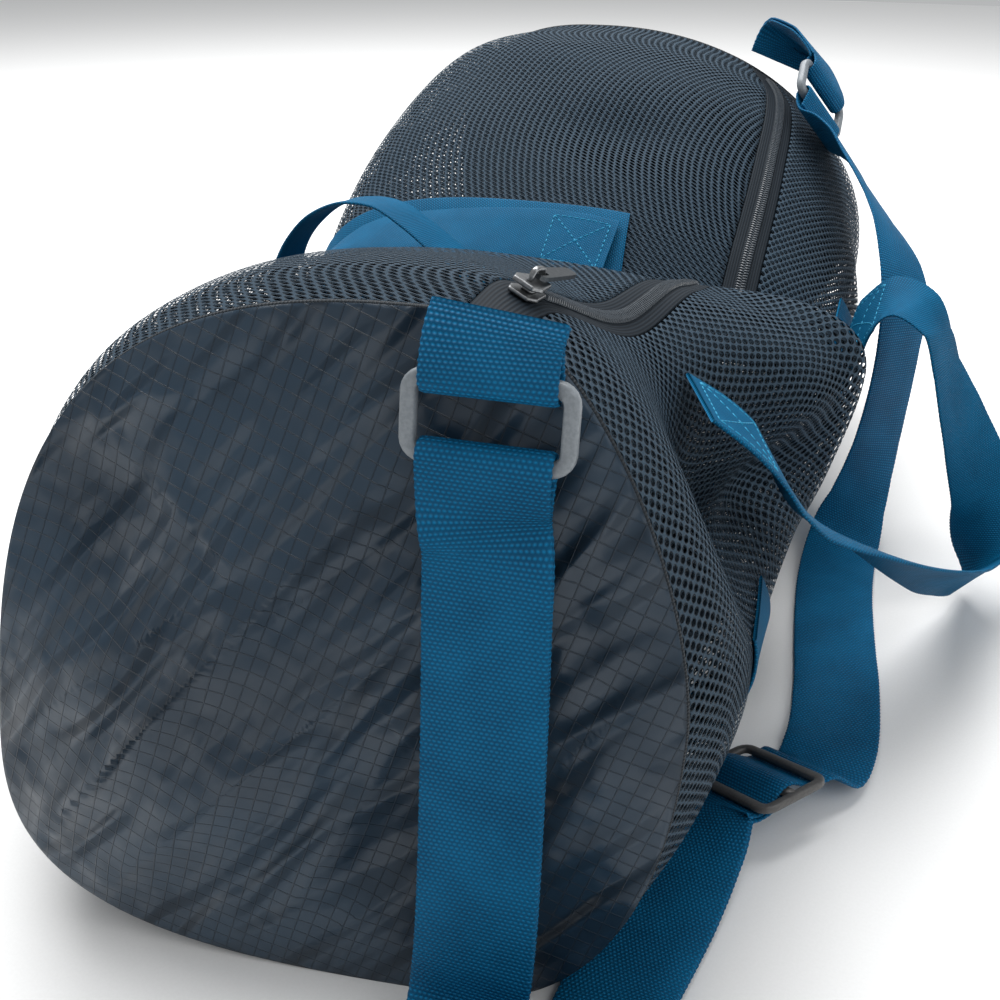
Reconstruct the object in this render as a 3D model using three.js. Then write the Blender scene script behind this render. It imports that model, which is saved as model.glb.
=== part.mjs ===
// Mesh duffel bag lying on a flat surface, half packed, with its zip closed.
// Millimetres. +Z is up, +Y runs along the bag from its near end to its far
// end, and +X points to the side where the right carry handle falls.
import * as THREE from 'three';
import { mergeVertices } from 'three/addons/utils/BufferGeometryUtils.js';

// Sizes of the soft body
const bagLength = 500;
const bagWidth = 272;
const bagHeight = 222;
const groundGap = 0;
const meshWall = 1.6;
const baseWall = 1.2;
const panelWall = 1.0;
const seamGap = 0.42;
const panelGap = 0.8;

// Sizes of the zip
const tapeWidth = 19;
const tapeWall = 0.9;
const coilWidth = 5.6;
const coilHeight = 1.6;
const sliderLength = 14;
const sliderWidth = 9.5;
const sliderHeight = 4.6;
const pullLength = 26;
const pullWidth = 5.4;
const pullWall = 1.4;

const bridgeBar = 1.2;
const bridgeWidth = 1.6;
const bridgeLength = 8;
const bridgeHeight = 4.2;
const eyeBar = 1.4;
const eyeLength = 4.6;
const eyeWidth = 3;
const pivotLift = 1.6;

// Sizes of the webbing, rings and slide
const webWidth = 38;
const webWall = 1.5;
const layerGap = 0.5;
const barGap = 1.1;
const ringBar = 4.6;
const ringDepth = 17;
const slideBar = 4;
const slideDepth = 26;
const slideWall = 3;
const bagColour = 0x39434f;
const webColour = 0x1c6f9e;

// Cross-sections along the bag. at is the share of bagLength. centre, left,
// right and zip are shares of bagWidth: the crown's place, the reach to each
// side of it and the place of the zip. top, bellyLeft and bellyRight are
// shares of bagHeight. roundLeft and roundRight are the powers of the upper
// outline, where 2 is an ellipse and more is squarer. lean and twist are
// shares of bagHeight: how far the floor line runs past the crown, and how
// much further it does so on the right. seamRight and seamLeft are the shares of
// the outline between the zip and the edges of the base cloth.
const sections = [
  { at: 0.00, centre: -0.010, left: 0.600, right: 0.235, top: 1.015, bellyLeft: 0.37,
    bellyRight: 0.50, roundLeft: 2.70, roundRight: 1.60, lean: -0.18, twist: 0.05, zip: -0.012,
    seamRight: 0.300, seamLeft: 0.320 },
  { at: 0.05, centre: -0.060, left: 0.610, right: 0.320, top: 1.025, bellyLeft: 0.38,
    bellyRight: 0.49, roundLeft: 2.50, roundRight: 1.65, lean: -0.17, twist: 0.05, zip: -0.002,
    seamRight: 0.300, seamLeft: 0.320 },
  { at: 0.20, centre: -0.200, left: 0.590, right: 0.490, top: 0.935, bellyLeft: 0.38,
    bellyRight: 0.46, roundLeft: 2.15, roundRight: 1.90, lean: -0.12, twist: 0.03, zip: 0.035,
    seamRight: 0.270, seamLeft: 0.325 },
  { at: 0.38, centre: -0.230, left: 0.535, right: 0.545, top: 0.790, bellyLeft: 0.38,
    bellyRight: 0.62, roundLeft: 2.20, roundRight: 2.70, lean: -0.04, twist: 0.00, zip: 0.055,
    seamRight: 0.250, seamLeft: 0.330 },
  { at: 0.45, centre: -0.235, left: 0.545, right: 0.520, top: 0.640, bellyLeft: 0.36,
    bellyRight: 0.42, roundLeft: 2.40, roundRight: 2.50, lean: 0.00, twist: 0.00, zip: 0.070,
    seamRight: 0.250, seamLeft: 0.330 },
  { at: 0.53, centre: -0.240, left: 0.550, right: 0.530, top: 0.580, bellyLeft: 0.34,
    bellyRight: 0.36, roundLeft: 2.60, roundRight: 2.30, lean: 0.00, twist: 0.00, zip: 0.080,
    seamRight: 0.260, seamLeft: 0.335 },
  { at: 0.64, centre: -0.290, left: 0.575, right: 0.590, top: 0.760, bellyLeft: 0.38,
    bellyRight: 0.42, roundLeft: 3.00, roundRight: 2.00, lean: 0.02, twist: 0.00, zip: 0.080,
    seamRight: 0.270, seamLeft: 0.350 },
  { at: 0.76, centre: -0.360, left: 0.520, right: 0.660, top: 0.930, bellyLeft: 0.42,
    bellyRight: 0.48, roundLeft: 3.20, roundRight: 2.00, lean: 0.05, twist: 0.00, zip: 0.075,
    seamRight: 0.290, seamLeft: 0.370 },
  { at: 0.90, centre: -0.400, left: 0.455, right: 0.690, top: 1.050, bellyLeft: 0.44,
    bellyRight: 0.50, roundLeft: 3.20, roundRight: 2.00, lean: 0.08, twist: 0.00, zip: 0.050,
    seamRight: 0.300, seamLeft: 0.370 },
  { at: 1.00, centre: -0.400, left: 0.400, right: 0.620, top: 1.065, bellyLeft: 0.46,
    bellyRight: 0.50, roundLeft: 2.80, roundRight: 2.10, lean: 0.12, twist: 0.00, zip: -0.015,
    seamRight: 0.300, seamLeft: 0.370 },
];
const floorPowerLeft = 3.0;
const floorPowerRight = 2.3;

// Folds and dents of the body. at and turn give the middle, as shares of
// bagLength and of the outline from the zip, right side first. along and
// around are the reaches in the same shares. out, ahead and up are shares of
// bagHeight: out of the surface, along +Y and along +Z.
const folds = [
  { at: 0.20, turn: 0.105, along: 0.085, around: 0.055, out: -0.200, ahead: 0.00, up: 0.00 },
  { at: 0.29, turn: 0.150, along: 0.060, around: 0.030, out: -0.120, ahead: 0.00, up: 0.00 },
  { at: 0.385, turn: 0.100, along: 0.022, around: 0.080, out: 0.030, ahead: 0.00, up: 0.02 },
  { at: 0.52, turn: 0.130, along: 0.060, around: 0.060, out: -0.060, ahead: 0.00, up: 0.00 },
  { at: 0.45, turn: 0.860, along: 0.035, around: 0.070, out: -0.040, ahead: 0.00, up: 0.00 },
  { at: 0.74, turn: 0.900, along: 0.040, around: 0.050, out: -0.035, ahead: 0.00, up: 0.00 },
  { at: 0.86, turn: 0.820, along: 0.050, around: 0.050, out: 0.025, ahead: 0.00, up: 0.00 },
  { at: 0.84, turn: 0.130, along: 0.080, around: 0.050, out: -0.050, ahead: 0.00, up: 0.00 },
  { at: 0.12, turn: 0.720, along: 0.050, around: 0.060, out: -0.030, ahead: 0.00, up: 0.00 },
];

// Creases of the two end panels, each a straight ridge or dent. fromX and
// fromZ to toX and toZ are shares of the panel's half width and half height
// from its middle, out is a share of bagHeight, reach one of bagWidth.
const nearCreases = [
  { fromX: -0.95, fromZ: -0.60, toX: 0.10, toZ: 0.45, out: 0.030, reach: 0.035 },
  { fromX: -0.60, fromZ: -0.85, toX: 0.20, toZ: 0.10, out: 0.026, reach: 0.030 },
  { fromX: -0.55, fromZ: 0.75, toX: -0.75, toZ: 0.05, out: -0.024, reach: 0.040 },
  { fromX: 0.15, fromZ: -0.90, toX: 0.45, toZ: 0.20, out: -0.020, reach: 0.040 },
];
const farCreases = [
  { fromX: -0.80, fromZ: 0.50, toX: 0.20, toZ: -0.30, out: 0.026, reach: 0.040 },
  { fromX: -0.10, fromZ: -0.80, toX: 0.55, toZ: 0.30, out: -0.024, reach: 0.040 },
];
const panelDome = 0.012;

// Counts of steps in the faceted cloth
const stationCount = 34;
const outlineSteps = 36;
const panelRings = 6;
const finePoints = 144;

const sectionColumns = Object.keys(sections[0]).filter((key) => key !== 'at');

function smoothColumn(column, at) {
  // Catmull-Rom through the rows of the section table.
  const last = sections.length - 1;
  let i = 0;
  while (i < last - 1 && sections[i + 1].at < at) i += 1;
  const p0 = sections[Math.max(i - 1, 0)];
  const p1 = sections[i];
  const p2 = sections[i + 1];
  const p3 = sections[Math.min(i + 2, last)];
  const span = p2.at - p1.at;
  const t = Math.min(Math.max((at - p1.at) / span, 0), 1);
  const m1 = i === 0 ? p2[column] - p1[column] : (p2[column] - p0[column]) * span / (p2.at - p0.at);
  const m2 = i + 1 === last ? p2[column] - p1[column] : (p3[column] - p1[column]) * span / (p3.at - p1.at);
  const t2 = t * t;
  const t3 = t2 * t;
  return p1[column] * (2 * t3 - 3 * t2 + 1) + m1 * (t3 - 2 * t2 + t)
    + p2[column] * (3 * t2 - 2 * t3) + m2 * (t3 - t2);
}

function sectionAt(at) {
  const row = { at };
  for (const column of sectionColumns) row[column] = smoothColumn(column, at);
  return row;
}

function outlinePoint(row, angle) {
  // One point of the outline, clockwise from the crown as seen from the near end.
  const side = Math.sin(angle);
  const rise = Math.cos(angle);
  const isRight = side >= 0;
  const top = row.top * bagHeight;
  const belly = (isRight ? row.bellyRight : row.bellyLeft) * bagHeight;
  const reach = (isRight ? row.right : row.left) * bagWidth;
  const upperPower = isRight ? row.roundRight : row.roundLeft;
  const lowerPower = isRight ? floorPowerRight : floorPowerLeft;
  const power = 2 / (rise >= 0 ? upperPower : lowerPower);
  const x = row.centre * bagWidth + Math.sign(side) * reach * Math.abs(side) ** power;
  const z = rise >= 0
    ? belly + (top - belly) * rise ** power
    : belly - (belly - groundGap) * Math.abs(rise) ** power;
  return { x, z };
}

const outlineCache = new Map();

function outlineTable(at) {
  // The outline at one station with its running length, starting at the zip.
  if (outlineCache.has(at)) return outlineCache.get(at);
  const row = sectionAt(at);
  const zipX = row.zip * bagWidth;
  const quarter = Math.PI / 2;
  let low = zipX < row.centre * bagWidth ? -quarter : 0;
  let high = low + quarter;
  for (let i = 0; i < 40; i += 1) {
    const middle = (low + high) / 2;
    if (outlinePoint(row, middle).x < zipX) low = middle;
    else high = middle;
  }
  const start = (low + high) / 2;
  const points = [];
  let length = 0;
  for (let i = 0; i <= finePoints; i += 1) {
    const point = outlinePoint(row, start + (2 * Math.PI * i) / finePoints);
    if (i > 0) {
      const before = points[i - 1];
      length += Math.hypot(point.x - before.x, point.z - before.z);
    }
    points.push({ x: point.x, z: point.z, length });
  }
  const table = { row, points, length };
  outlineCache.set(at, table);
  return table;
}

function bell(distance) {
  return Math.exp(-distance * distance);
}

function plainPoint(at, turn) {
  // The body's surface without its folds.
  const { row, points, length } = outlineTable(at);
  const wrapped = (turn - Math.floor(turn)) * length;
  let low = 0;
  let high = points.length - 1;
  while (high - low > 1) {
    const middle = (low + high) >> 1;
    if (points[middle].length <= wrapped) low = middle;
    else high = middle;
  }
  const share = (wrapped - points[low].length) / (points[high].length - points[low].length);
  const x = points[low].x + (points[high].x - points[low].x) * share;
  const z = points[low].z + (points[high].z - points[low].z) * share;
  const down = 1 - z / (row.top * bagHeight);
  const sideways = (x / bagWidth - row.centre) / row.right;
  const y = at * bagLength + down * bagHeight * (row.lean + row.twist * sideways);
  return new THREE.Vector3(x, y, z);
}

function outwardOf(pointAt, at, turn) {
  // Unit normal from small steps along and around the surface.
  const step = 0.002;
  const alongLow = Math.max(at - step, 0);
  const alongHigh = Math.min(at + step, 1);
  const along = pointAt(alongHigh, turn).sub(pointAt(alongLow, turn));
  const around = pointAt(at, turn + step).sub(pointAt(at, turn - step));
  return around.cross(along).normalize();
}

function bodyPoint(at, turn) {
  // The folded surface: each fold is a smooth bump out of the plain one.
  const point = plainPoint(at, turn);
  const outward = outwardOf(plainPoint, at, turn);
  for (const fold of folds) {
    let around = turn - Math.floor(turn) - fold.turn;
    around -= Math.round(around);
    const weight = bell((at - fold.at) / fold.along) * bell(around / fold.around) * bagHeight;
    point.addScaledVector(outward, fold.out * weight);
    point.y += fold.ahead * weight;
    point.z += fold.up * weight;
  }
  point.z = Math.max(point.z, groundGap);
  return point;
}

function liftedPoint(at, turn, lift) {
  const outward = outwardOf(bodyPoint, at, turn);
  return bodyPoint(at, turn).addScaledVector(outward, lift);
}

function closedGeometry(positions, faces) {
  // Turn points and triangles into a geometry whose faces point outwards.
  let volume = 0;
  for (const [a, b, c] of faces) {
    volume += positions[a].dot(positions[b].clone().cross(positions[c]));
  }
  const ordered = volume < 0 ? faces.map(([a, b, c]) => [a, c, b]) : faces;
  const geometry = new THREE.BufferGeometry();
  const flat = positions.flatMap((point) => [point.x, point.y, point.z]);
  geometry.setAttribute('position', new THREE.Float32BufferAttribute(flat, 3));
  geometry.setIndex(ordered.flat());
  const merged = mergeVertices(geometry, 1e-4);
  merged.computeVertexNormals();
  return merged;
}

function thicken(outer, inner, faces) {
  // Close the wall between two like-numbered skins along their open edges.
  const count = outer.length;
  const closed = faces.map((face) => [...face]);
  const edges = new Map();
  for (const [a, b, c] of faces) {
    closed.push([a + count, c + count, b + count]);
    for (const [from, to] of [[a, b], [b, c], [c, a]]) {
      if (edges.has(`${to},${from}`)) edges.delete(`${to},${from}`);
      else edges.set(`${from},${to}`, [from, to]);
    }
  }
  for (const [from, to] of edges.values()) {
    closed.push([from, to + count, to]);
    closed.push([from, from + count, to + count]);
  }
  return closedGeometry([...outer, ...inner], closed);
}

function gridFaces(rows, columns) {
  const faces = [];
  for (let i = 0; i < rows - 1; i += 1) {
    for (let j = 0; j < columns - 1; j += 1) {
      const a = i * columns + j;
      const b = a + columns;
      faces.push([a, a + 1, b + 1], [a, b + 1, b]);
    }
  }
  return faces;
}

function bodyPatch(turnFrom, turnTo, steps, wall) {
  // A panel of the body between two edges given as functions of the station.
  const outer = [];
  const inner = [];
  for (let i = 0; i <= stationCount; i += 1) {
    const at = i / stationCount;
    const low = turnFrom(at);
    const high = turnTo(at);
    for (let j = 0; j <= steps; j += 1) {
      const turn = low + ((high - low) * j) / steps;
      outer.push(liftedPoint(at, turn, 0));
      inner.push(liftedPoint(at, turn, -wall));
    }
  }
  return thicken(outer, inner, gridFaces(stationCount + 1, steps + 1));
}

function creaseDepth(creases, x, z) {
  // Sum of the panel's creases at one place, in millimetres.
  let depth = 0;
  for (const crease of creases) {
    const runX = crease.toX - crease.fromX;
    const runZ = crease.toZ - crease.fromZ;
    const share = ((x - crease.fromX) * runX + (z - crease.fromZ) * runZ) / (runX ** 2 + runZ ** 2);
    const near = Math.min(Math.max(share, 0), 1);
    const gap = Math.hypot(x - crease.fromX - near * runX, z - crease.fromZ - near * runZ);
    depth += crease.out * bagHeight * bell(gap / (crease.reach * 6)) * Math.sin(Math.PI * (0.15 + 0.7 * near));
  }
  return depth;
}

function endPanel(at, direction, creases) {
  // A round end cloth on the rim's outline, domed and creased outwards.
  const row = sectionAt(at);
  const rim = [];
  for (let j = 0; j < outlineSteps; j += 1) rim.push(bodyPoint(at, j / outlineSteps));
  const middle = new THREE.Vector3();
  for (const point of rim) middle.addScaledVector(point, 1 / rim.length);
  const outer = [];
  const inner = [];
  const faces = [];
  const place = (point, share) => {
    const x = (point.x - middle.x) / (row.left * bagWidth);
    const z = (point.z - middle.z) / (0.5 * bagHeight);
    const edge = 1 - share ** 4;
    const out = (panelDome * bagHeight + creaseDepth(creases, x, z)) * edge + panelGap;
    const step = new THREE.Vector3(0, direction, 0);
    inner.push(point.clone().addScaledVector(step, out));
    outer.push(point.clone().addScaledVector(step, out + panelWall));
  };
  place(middle, 0);
  for (let i = 1; i <= panelRings; i += 1) {
    for (const point of rim) place(middle.clone().lerp(point, i / panelRings), i / panelRings);
  }
  for (let j = 0; j < outlineSteps; j += 1) {
    const next = (j + 1) % outlineSteps;
    faces.push([0, 1 + j, 1 + next]);
    for (let i = 0; i < panelRings - 1; i += 1) {
      const a = 1 + i * outlineSteps;
      const b = a + outlineSteps;
      faces.push([a + j, b + j, b + next], [a + j, b + next, a + next]);
    }
  }
  return thicken(outer, inner, faces);
}

function lattice(x, y, z) {
  // A place given as shares of the bag's width, length and height.
  return new THREE.Vector3(x * bagWidth, y * bagLength, z * bagHeight);
}

function waypoint(row) {
  const across = new THREE.Vector3(row.acrossX, row.acrossY, row.acrossZ);
  return { place: lattice(row.x, row.y, row.z), across };
}

function sampleRows(rows, step) {
  // A smooth path through rows of place and width direction, at equal steps.
  const curve = new THREE.CatmullRomCurve3(rows.map((row) => row.place), false, 'centripetal');
  const count = Math.max(2, Math.round(curve.getLength() / step));
  const samples = [];
  for (let i = 0; i <= count; i += 1) {
    const t = curve.getUtoTmapping(i / count);
    const index = Math.min(Math.floor(t * (rows.length - 1)), rows.length - 2);
    const share = t * (rows.length - 1) - index;
    const across = rows[index].across.clone().lerp(rows[index + 1].across, share);
    const tangent = curve.getTangent(t);
    across.addScaledVector(tangent, -across.dot(tangent)).normalize();
    samples.push({ place: curve.getPoint(t), across });
  }
  return samples;
}

function tangentAt(samples, i) {
  const before = samples[Math.max(i - 1, 0)].place;
  const after = samples[Math.min(i + 1, samples.length - 1)].place;
  return after.clone().sub(before).normalize();
}

function ribbon(samples, width, wall) {
  // A flat band of webbing along a path, kept off the ground.
  const outer = [];
  const inner = [];
  samples.forEach((sample, i) => {
    const tangent = tangentAt(samples, i);
    const across = sample.across.clone().addScaledVector(tangent, -sample.across.dot(tangent)).normalize();
    const face = tangent.cross(across).normalize();
    const place = sample.place.clone();
    place.z = Math.max(place.z, (Math.abs(across.z) * width + Math.abs(face.z) * wall) / 2);
    for (const side of [-0.5, 0.5]) {
      const edge = place.clone().addScaledVector(across, width * side);
      outer.push(edge.clone().addScaledVector(face, wall / 2));
      inner.push(edge.clone().addScaledVector(face, -wall / 2));
    }
  });
  return thicken(outer, inner, gridFaces(samples.length, 2));
}

function loopRound(path, side, spread, radius, steps) {
  // Two layers of webbing along a path, joined by a half turn round the bar at
  // its end. The first layer lies on the given side of the path.
  const last = path.length - 1;
  const offset = (i, sign) => {
    const face = tangentAt(path, i).cross(path[i].across).normalize();
    const place = path[i].place.clone().addScaledVector(face, sign * spread);
    return { place, across: path[i].across.clone() };
  };
  const samples = [];
  for (let i = 0; i < last; i += 1) samples.push(offset(i, side));
  const across = path[last].across.clone().normalize();
  const start = tangentAt(path, last).cross(across).normalize().multiplyScalar(side * radius);
  for (let i = 0; i <= steps; i += 1) {
    const place = start.clone().applyAxisAngle(across, (side * Math.PI * i) / steps).add(path[last].place);
    samples.push({ place, across: across.clone() });
  }
  for (let i = last - 1; i >= 0; i -= 1) samples.push(offset(i, -side));
  return samples;
}

function oblong(path, halfWidth, halfDepth, radius) {
  // An oblong with round corners, drawn about its middle.
  path.moveTo(-halfWidth + radius, -halfDepth);
  path.lineTo(halfWidth - radius, -halfDepth);
  path.absarc(halfWidth - radius, -halfDepth + radius, radius, -Math.PI / 2, 0, false);
  path.absarc(halfWidth - radius, halfDepth - radius, radius, 0, Math.PI / 2, false);
  path.absarc(-halfWidth + radius, halfDepth - radius, radius, Math.PI / 2, Math.PI, false);
  path.absarc(-halfWidth + radius, -halfDepth + radius, radius, Math.PI, 1.5 * Math.PI, false);
  return path;
}

function oblongRing(width, depth, bar, wall, slots) {
  // A moulded ring or slide: width and depth are those of its whole opening.
  const shape = oblong(new THREE.Shape(), width / 2 + bar, depth / 2 + bar, bar * 1.4);
  const slot = (depth - (slots - 1) * bar) / slots;
  for (let i = 0; i < slots; i += 1) {
    const middle = -depth / 2 + slot / 2 + i * (slot + bar);
    const hole = oblong(new THREE.Path(), width / 2, slot / 2, bar * 0.3);
    shape.holes.push(new THREE.Path(hole.getPoints(2).map((p) => new THREE.Vector2(p.x, p.y + middle))));
  }
  const bevel = wall * 0.25;
  const geometry = new THREE.ExtrudeGeometry(shape, {
    depth: wall - 2 * bevel,
    bevelEnabled: true,
    bevelThickness: bevel,
    bevelSize: bevel,
    bevelOffset: -bevel,
    bevelSegments: 1,
    curveSegments: 3,
  });
  geometry.translate(0, 0, -wall / 2 + bevel);
  return geometry;
}

function turnedTo(geometry, origin, long, short) {
  // Lay a flat piece drawn in X and Y along two given directions.
  const x = long.clone().normalize();
  const z = x.clone().cross(short).normalize();
  const y = z.clone().cross(x);
  const matrix = new THREE.Matrix4().makeBasis(x, y, z).setPosition(origin);
  return geometry.clone().applyMatrix4(matrix);
}

const bag = new THREE.Group();

function addPiece(name, geometry, color, roughness, metalness) {
  const material = new THREE.MeshStandardMaterial({ color, roughness, metalness });
  const mesh = new THREE.Mesh(geometry, material);
  mesh.name = name;
  bag.add(mesh);
  return mesh;
}

// The body: two mesh panels beside the zip, and the base cloth between them
function tapeShare(at) {
  return (tapeWidth / 2) / outlineTable(at).length;
}

function gapShare(at) {
  return seamGap / outlineTable(at).length;
}

const meshSteps = Math.round(outlineSteps * 0.33);
const baseSteps = outlineSteps - 2 * meshSteps + 2;
const rightSeam = (at) => sectionAt(at).seamRight;
const leftSeam = (at) => 1 - sectionAt(at).seamLeft;
addPiece('mesh_panel_right', bodyPatch(tapeShare, rightSeam, meshSteps, meshWall), bagColour, 0.8, 0);
addPiece('mesh_panel_left', bodyPatch(leftSeam, (at) => 1 - tapeShare(at), meshSteps, meshWall), bagColour, 0.8, 0);
addPiece('base_panel', bodyPatch((at) => rightSeam(at) + gapShare(at), (at) => leftSeam(at) - gapShare(at),
  baseSteps, baseWall), 0x262e38, 0.6, 0);
addPiece('end_panel_near', endPanel(0, -1, nearCreases), 0x2a323d, 0.55, 0);
addPiece('end_panel_far', endPanel(1, 1, farCreases), 0x2a323d, 0.55, 0);

// The zip: its tape in the gap between the mesh panels, coil, slider and pull
function zipTape() {
  const outer = [];
  const inner = [];
  const steps = 2;
  for (let i = 0; i <= stationCount; i += 1) {
    const at = i / stationCount;
    const reach = tapeShare(at) - gapShare(at);
    for (let j = 0; j <= steps; j += 1) {
      const turn = reach * ((2 * j) / steps - 1);
      outer.push(liftedPoint(at, turn, -(meshWall - tapeWall) / 2));
      inner.push(liftedPoint(at, turn, -(meshWall + tapeWall) / 2));
    }
  }
  return thicken(outer, inner, gridFaces(stationCount + 1, steps + 1));
}

const coilFirst = 2;
const coilLast = stationCount - 1;
const zipStart = coilFirst / stationCount;
const tapeFace = -(meshWall - tapeWall) / 2;

function zipSample(at, lift) {
  const place = liftedPoint(at, 0, lift);
  const across = bodyPoint(at, 0.01).sub(bodyPoint(at, -0.01)).normalize();
  return { place, across };
}

function zipCoil() {
  const samples = [];
  const lift = tapeFace + 1.5 * seamGap + coilHeight / 2;
  for (let i = coilFirst; i <= coilLast; i += 1) samples.push(zipSample(i / stationCount, lift));
  return ribbon(samples, coilWidth, coilHeight);
}

addPiece('zip_tape', zipTape(), 0x2c343f, 0.75, 0);
addPiece('zip_coil', zipCoil(), 0x49525c, 0.45, 0.1);

const sliderAt = zipStart - (sliderLength / 2 + 2 * seamGap) / bagLength;
const sliderSpot = zipSample(sliderAt, tapeFace + sliderHeight / 2);
const sliderAhead = zipSample(sliderAt + 0.01, 0).place.sub(zipSample(sliderAt - 0.01, 0).place).normalize();
const sliderUp = sliderSpot.across.clone().cross(sliderAhead).normalize();
const sliderAcross = sliderAhead.clone().cross(sliderUp);

function sliderBody() {
  // A shield shape, wide in front where the two halves of the coil enter.
  const shape = new THREE.Shape();
  shape.moveTo(-sliderWidth * 0.3, -sliderLength / 2);
  shape.lineTo(sliderWidth * 0.3, -sliderLength / 2);
  shape.lineTo(sliderWidth / 2, sliderLength * 0.2);
  shape.lineTo(sliderWidth * 0.35, sliderLength / 2);
  shape.lineTo(-sliderWidth * 0.35, sliderLength / 2);
  shape.lineTo(-sliderWidth / 2, sliderLength * 0.2);
  const bevel = sliderHeight * 0.15;
  const geometry = new THREE.ExtrudeGeometry(shape, {
    depth: sliderHeight - 2 * bevel,
    bevelEnabled: true,
    bevelThickness: bevel,
    bevelSize: bevel,
    bevelOffset: -bevel,
    bevelSegments: 1,
  });
  geometry.translate(0, 0, -sliderHeight / 2 + bevel);
  return geometry;
}

function bridgeBody() {
  // The slider's bridge, an arch that holds the pull's eye.
  const half = bridgeLength / 2;
  const shape = new THREE.Shape();
  shape.moveTo(-half, 0);
  shape.lineTo(-half, bridgeHeight - bridgeBar);
  shape.lineTo(-half + bridgeBar, bridgeHeight);
  shape.lineTo(half - bridgeBar, bridgeHeight);
  shape.lineTo(half, bridgeHeight - bridgeBar);
  shape.lineTo(half, 0);
  shape.lineTo(half - bridgeBar, 0);
  shape.lineTo(half - bridgeBar, bridgeHeight - bridgeBar);
  shape.lineTo(-half + bridgeBar, bridgeHeight - bridgeBar);
  shape.lineTo(-half + bridgeBar, 0);
  const geometry = new THREE.ExtrudeGeometry(shape, { depth: bridgeWidth, bevelEnabled: false });
  geometry.translate(0, 0, -bridgeWidth / 2);
  return geometry;
}

function pullBody() {
  // A flat bar, drawn from the middle of its eye's end bar along +Y.
  const half = pullWidth / 2;
  const start = -eyeBar / 2;
  const end = start + pullLength;
  const shape = new THREE.Shape();
  shape.moveTo(-half, start);
  shape.lineTo(half, start);
  shape.lineTo(half, end - half);
  shape.lineTo(half * 0.5, end);
  shape.lineTo(-half * 0.5, end);
  shape.lineTo(-half, end - half);
  const hole = new THREE.Path();
  hole.moveTo(-eyeWidth / 2, start + eyeBar);
  hole.lineTo(eyeWidth / 2, start + eyeBar);
  hole.lineTo(eyeWidth / 2, start + eyeBar + eyeLength);
  hole.lineTo(-eyeWidth / 2, start + eyeBar + eyeLength);
  shape.holes.push(hole);
  const geometry = new THREE.ExtrudeGeometry(shape, { depth: pullWall, bevelEnabled: false });
  geometry.translate(0, 0, -pullWall / 2);
  return geometry;
}

const sliderTop = sliderSpot.place.clone().addScaledVector(sliderUp, sliderHeight / 2);
const bridgeFoot = sliderTop.clone().addScaledVector(sliderUp, seamGap);
const pullPivot = sliderTop.clone().addScaledVector(sliderUp, pivotLift);
addPiece('zip_slider', turnedTo(sliderBody(), sliderSpot.place, sliderAcross,
  sliderAhead.clone().negate()), 0x9aa0a3, 0.35, 0.9);
addPiece('slider_bridge', turnedTo(bridgeBody(), bridgeFoot, sliderAhead, sliderUp), 0x9aa0a3, 0.35, 0.9);
addPiece('zip_pull', turnedTo(pullBody(), pullPivot, sliderAcross, sliderAhead), 0x4d5359, 0.4, 0.6);

// Rings at the two ends, each held in a folded webbing tab sewn into the rim
const wrapRadius = ringBar / 2 + barGap + webWall / 2;
const layerStep = (webWall + layerGap) / 2;
const ringPitch = ringDepth / 2 + ringBar / 2;
const ringLength = webWidth + 2;

function ringFrame(row) {
  // long runs along the bars, down points from the tab's bar to the strap's.
  const long = new THREE.Vector3(row.longX, row.longY, row.longZ).normalize();
  const down = new THREE.Vector3(row.downX, row.downY, row.downZ);
  down.addScaledVector(long, -down.dot(long)).normalize();
  const centre = lattice(row.x, row.y, row.z);
  const tabBar = centre.clone().addScaledVector(down, -ringPitch);
  const strapBar = centre.clone().addScaledVector(down, ringPitch);
  return { centre, long, down, tabBar, strapBar };
}

function ringBody(frame) {
  return turnedTo(oblongRing(ringLength, ringDepth, ringBar, ringBar, 1), frame.centre, frame.long, frame.down);
}

function tabBody(rows, ring, side) {
  // A hairpin of webbing: out from the seam, round the ring's bar and back.
  const lead = { place: ring.tabBar.clone().addScaledVector(ring.down, -webWidth * 0.3), across: ring.long };
  const path = [...rows.map(waypoint), lead, { place: ring.tabBar, across: ring.long }];
  return ribbon(loopRound(path, side, layerStep, wrapRadius, 6), webWidth, webWall);
}

const nearRing = ringFrame({ x: 0.002, y: -0.029, z: 0.905, longX: 1.00, longY: 0.08, longZ: 0.00,
  downX: 0.00, downY: -0.22, downZ: -0.97 });
const farRing = ringFrame({ x: 0.136, y: 0.914, z: 0.928, longX: 0.50, longY: 0.50, longZ: -0.70,
  downX: 0.00, downY: -0.85, downZ: -0.53 });
const nearTabRows = [
  { x: 0.002, y: -0.010, z: 1.027, acrossX: 1.00, acrossY: 0.05, acrossZ: -0.05 },
];
const farTabRows = [
  { x: 0.015, y: 1.012, z: 0.986, acrossX: 0.93, acrossY: 0.00, acrossZ: -0.36 },
  { x: 0.033, y: 1.012, z: 1.045, acrossX: 0.85, acrossY: 0.15, acrossZ: -0.50 },
  { x: 0.081, y: 0.982, z: 1.041, acrossX: 0.65, acrossY: 0.35, acrossZ: -0.65 },
];
addPiece('near_ring', ringBody(nearRing), 0x7f868c, 0.5, 0);
addPiece('far_ring', ringBody(farRing), 0x7f868c, 0.5, 0);
addPiece('near_tab', tabBody(nearTabRows, nearRing, -1), webColour, 0.7, 0);
addPiece('far_tab', tabBody(farTabRows, farRing, 1), webColour, 0.7, 0);

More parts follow.
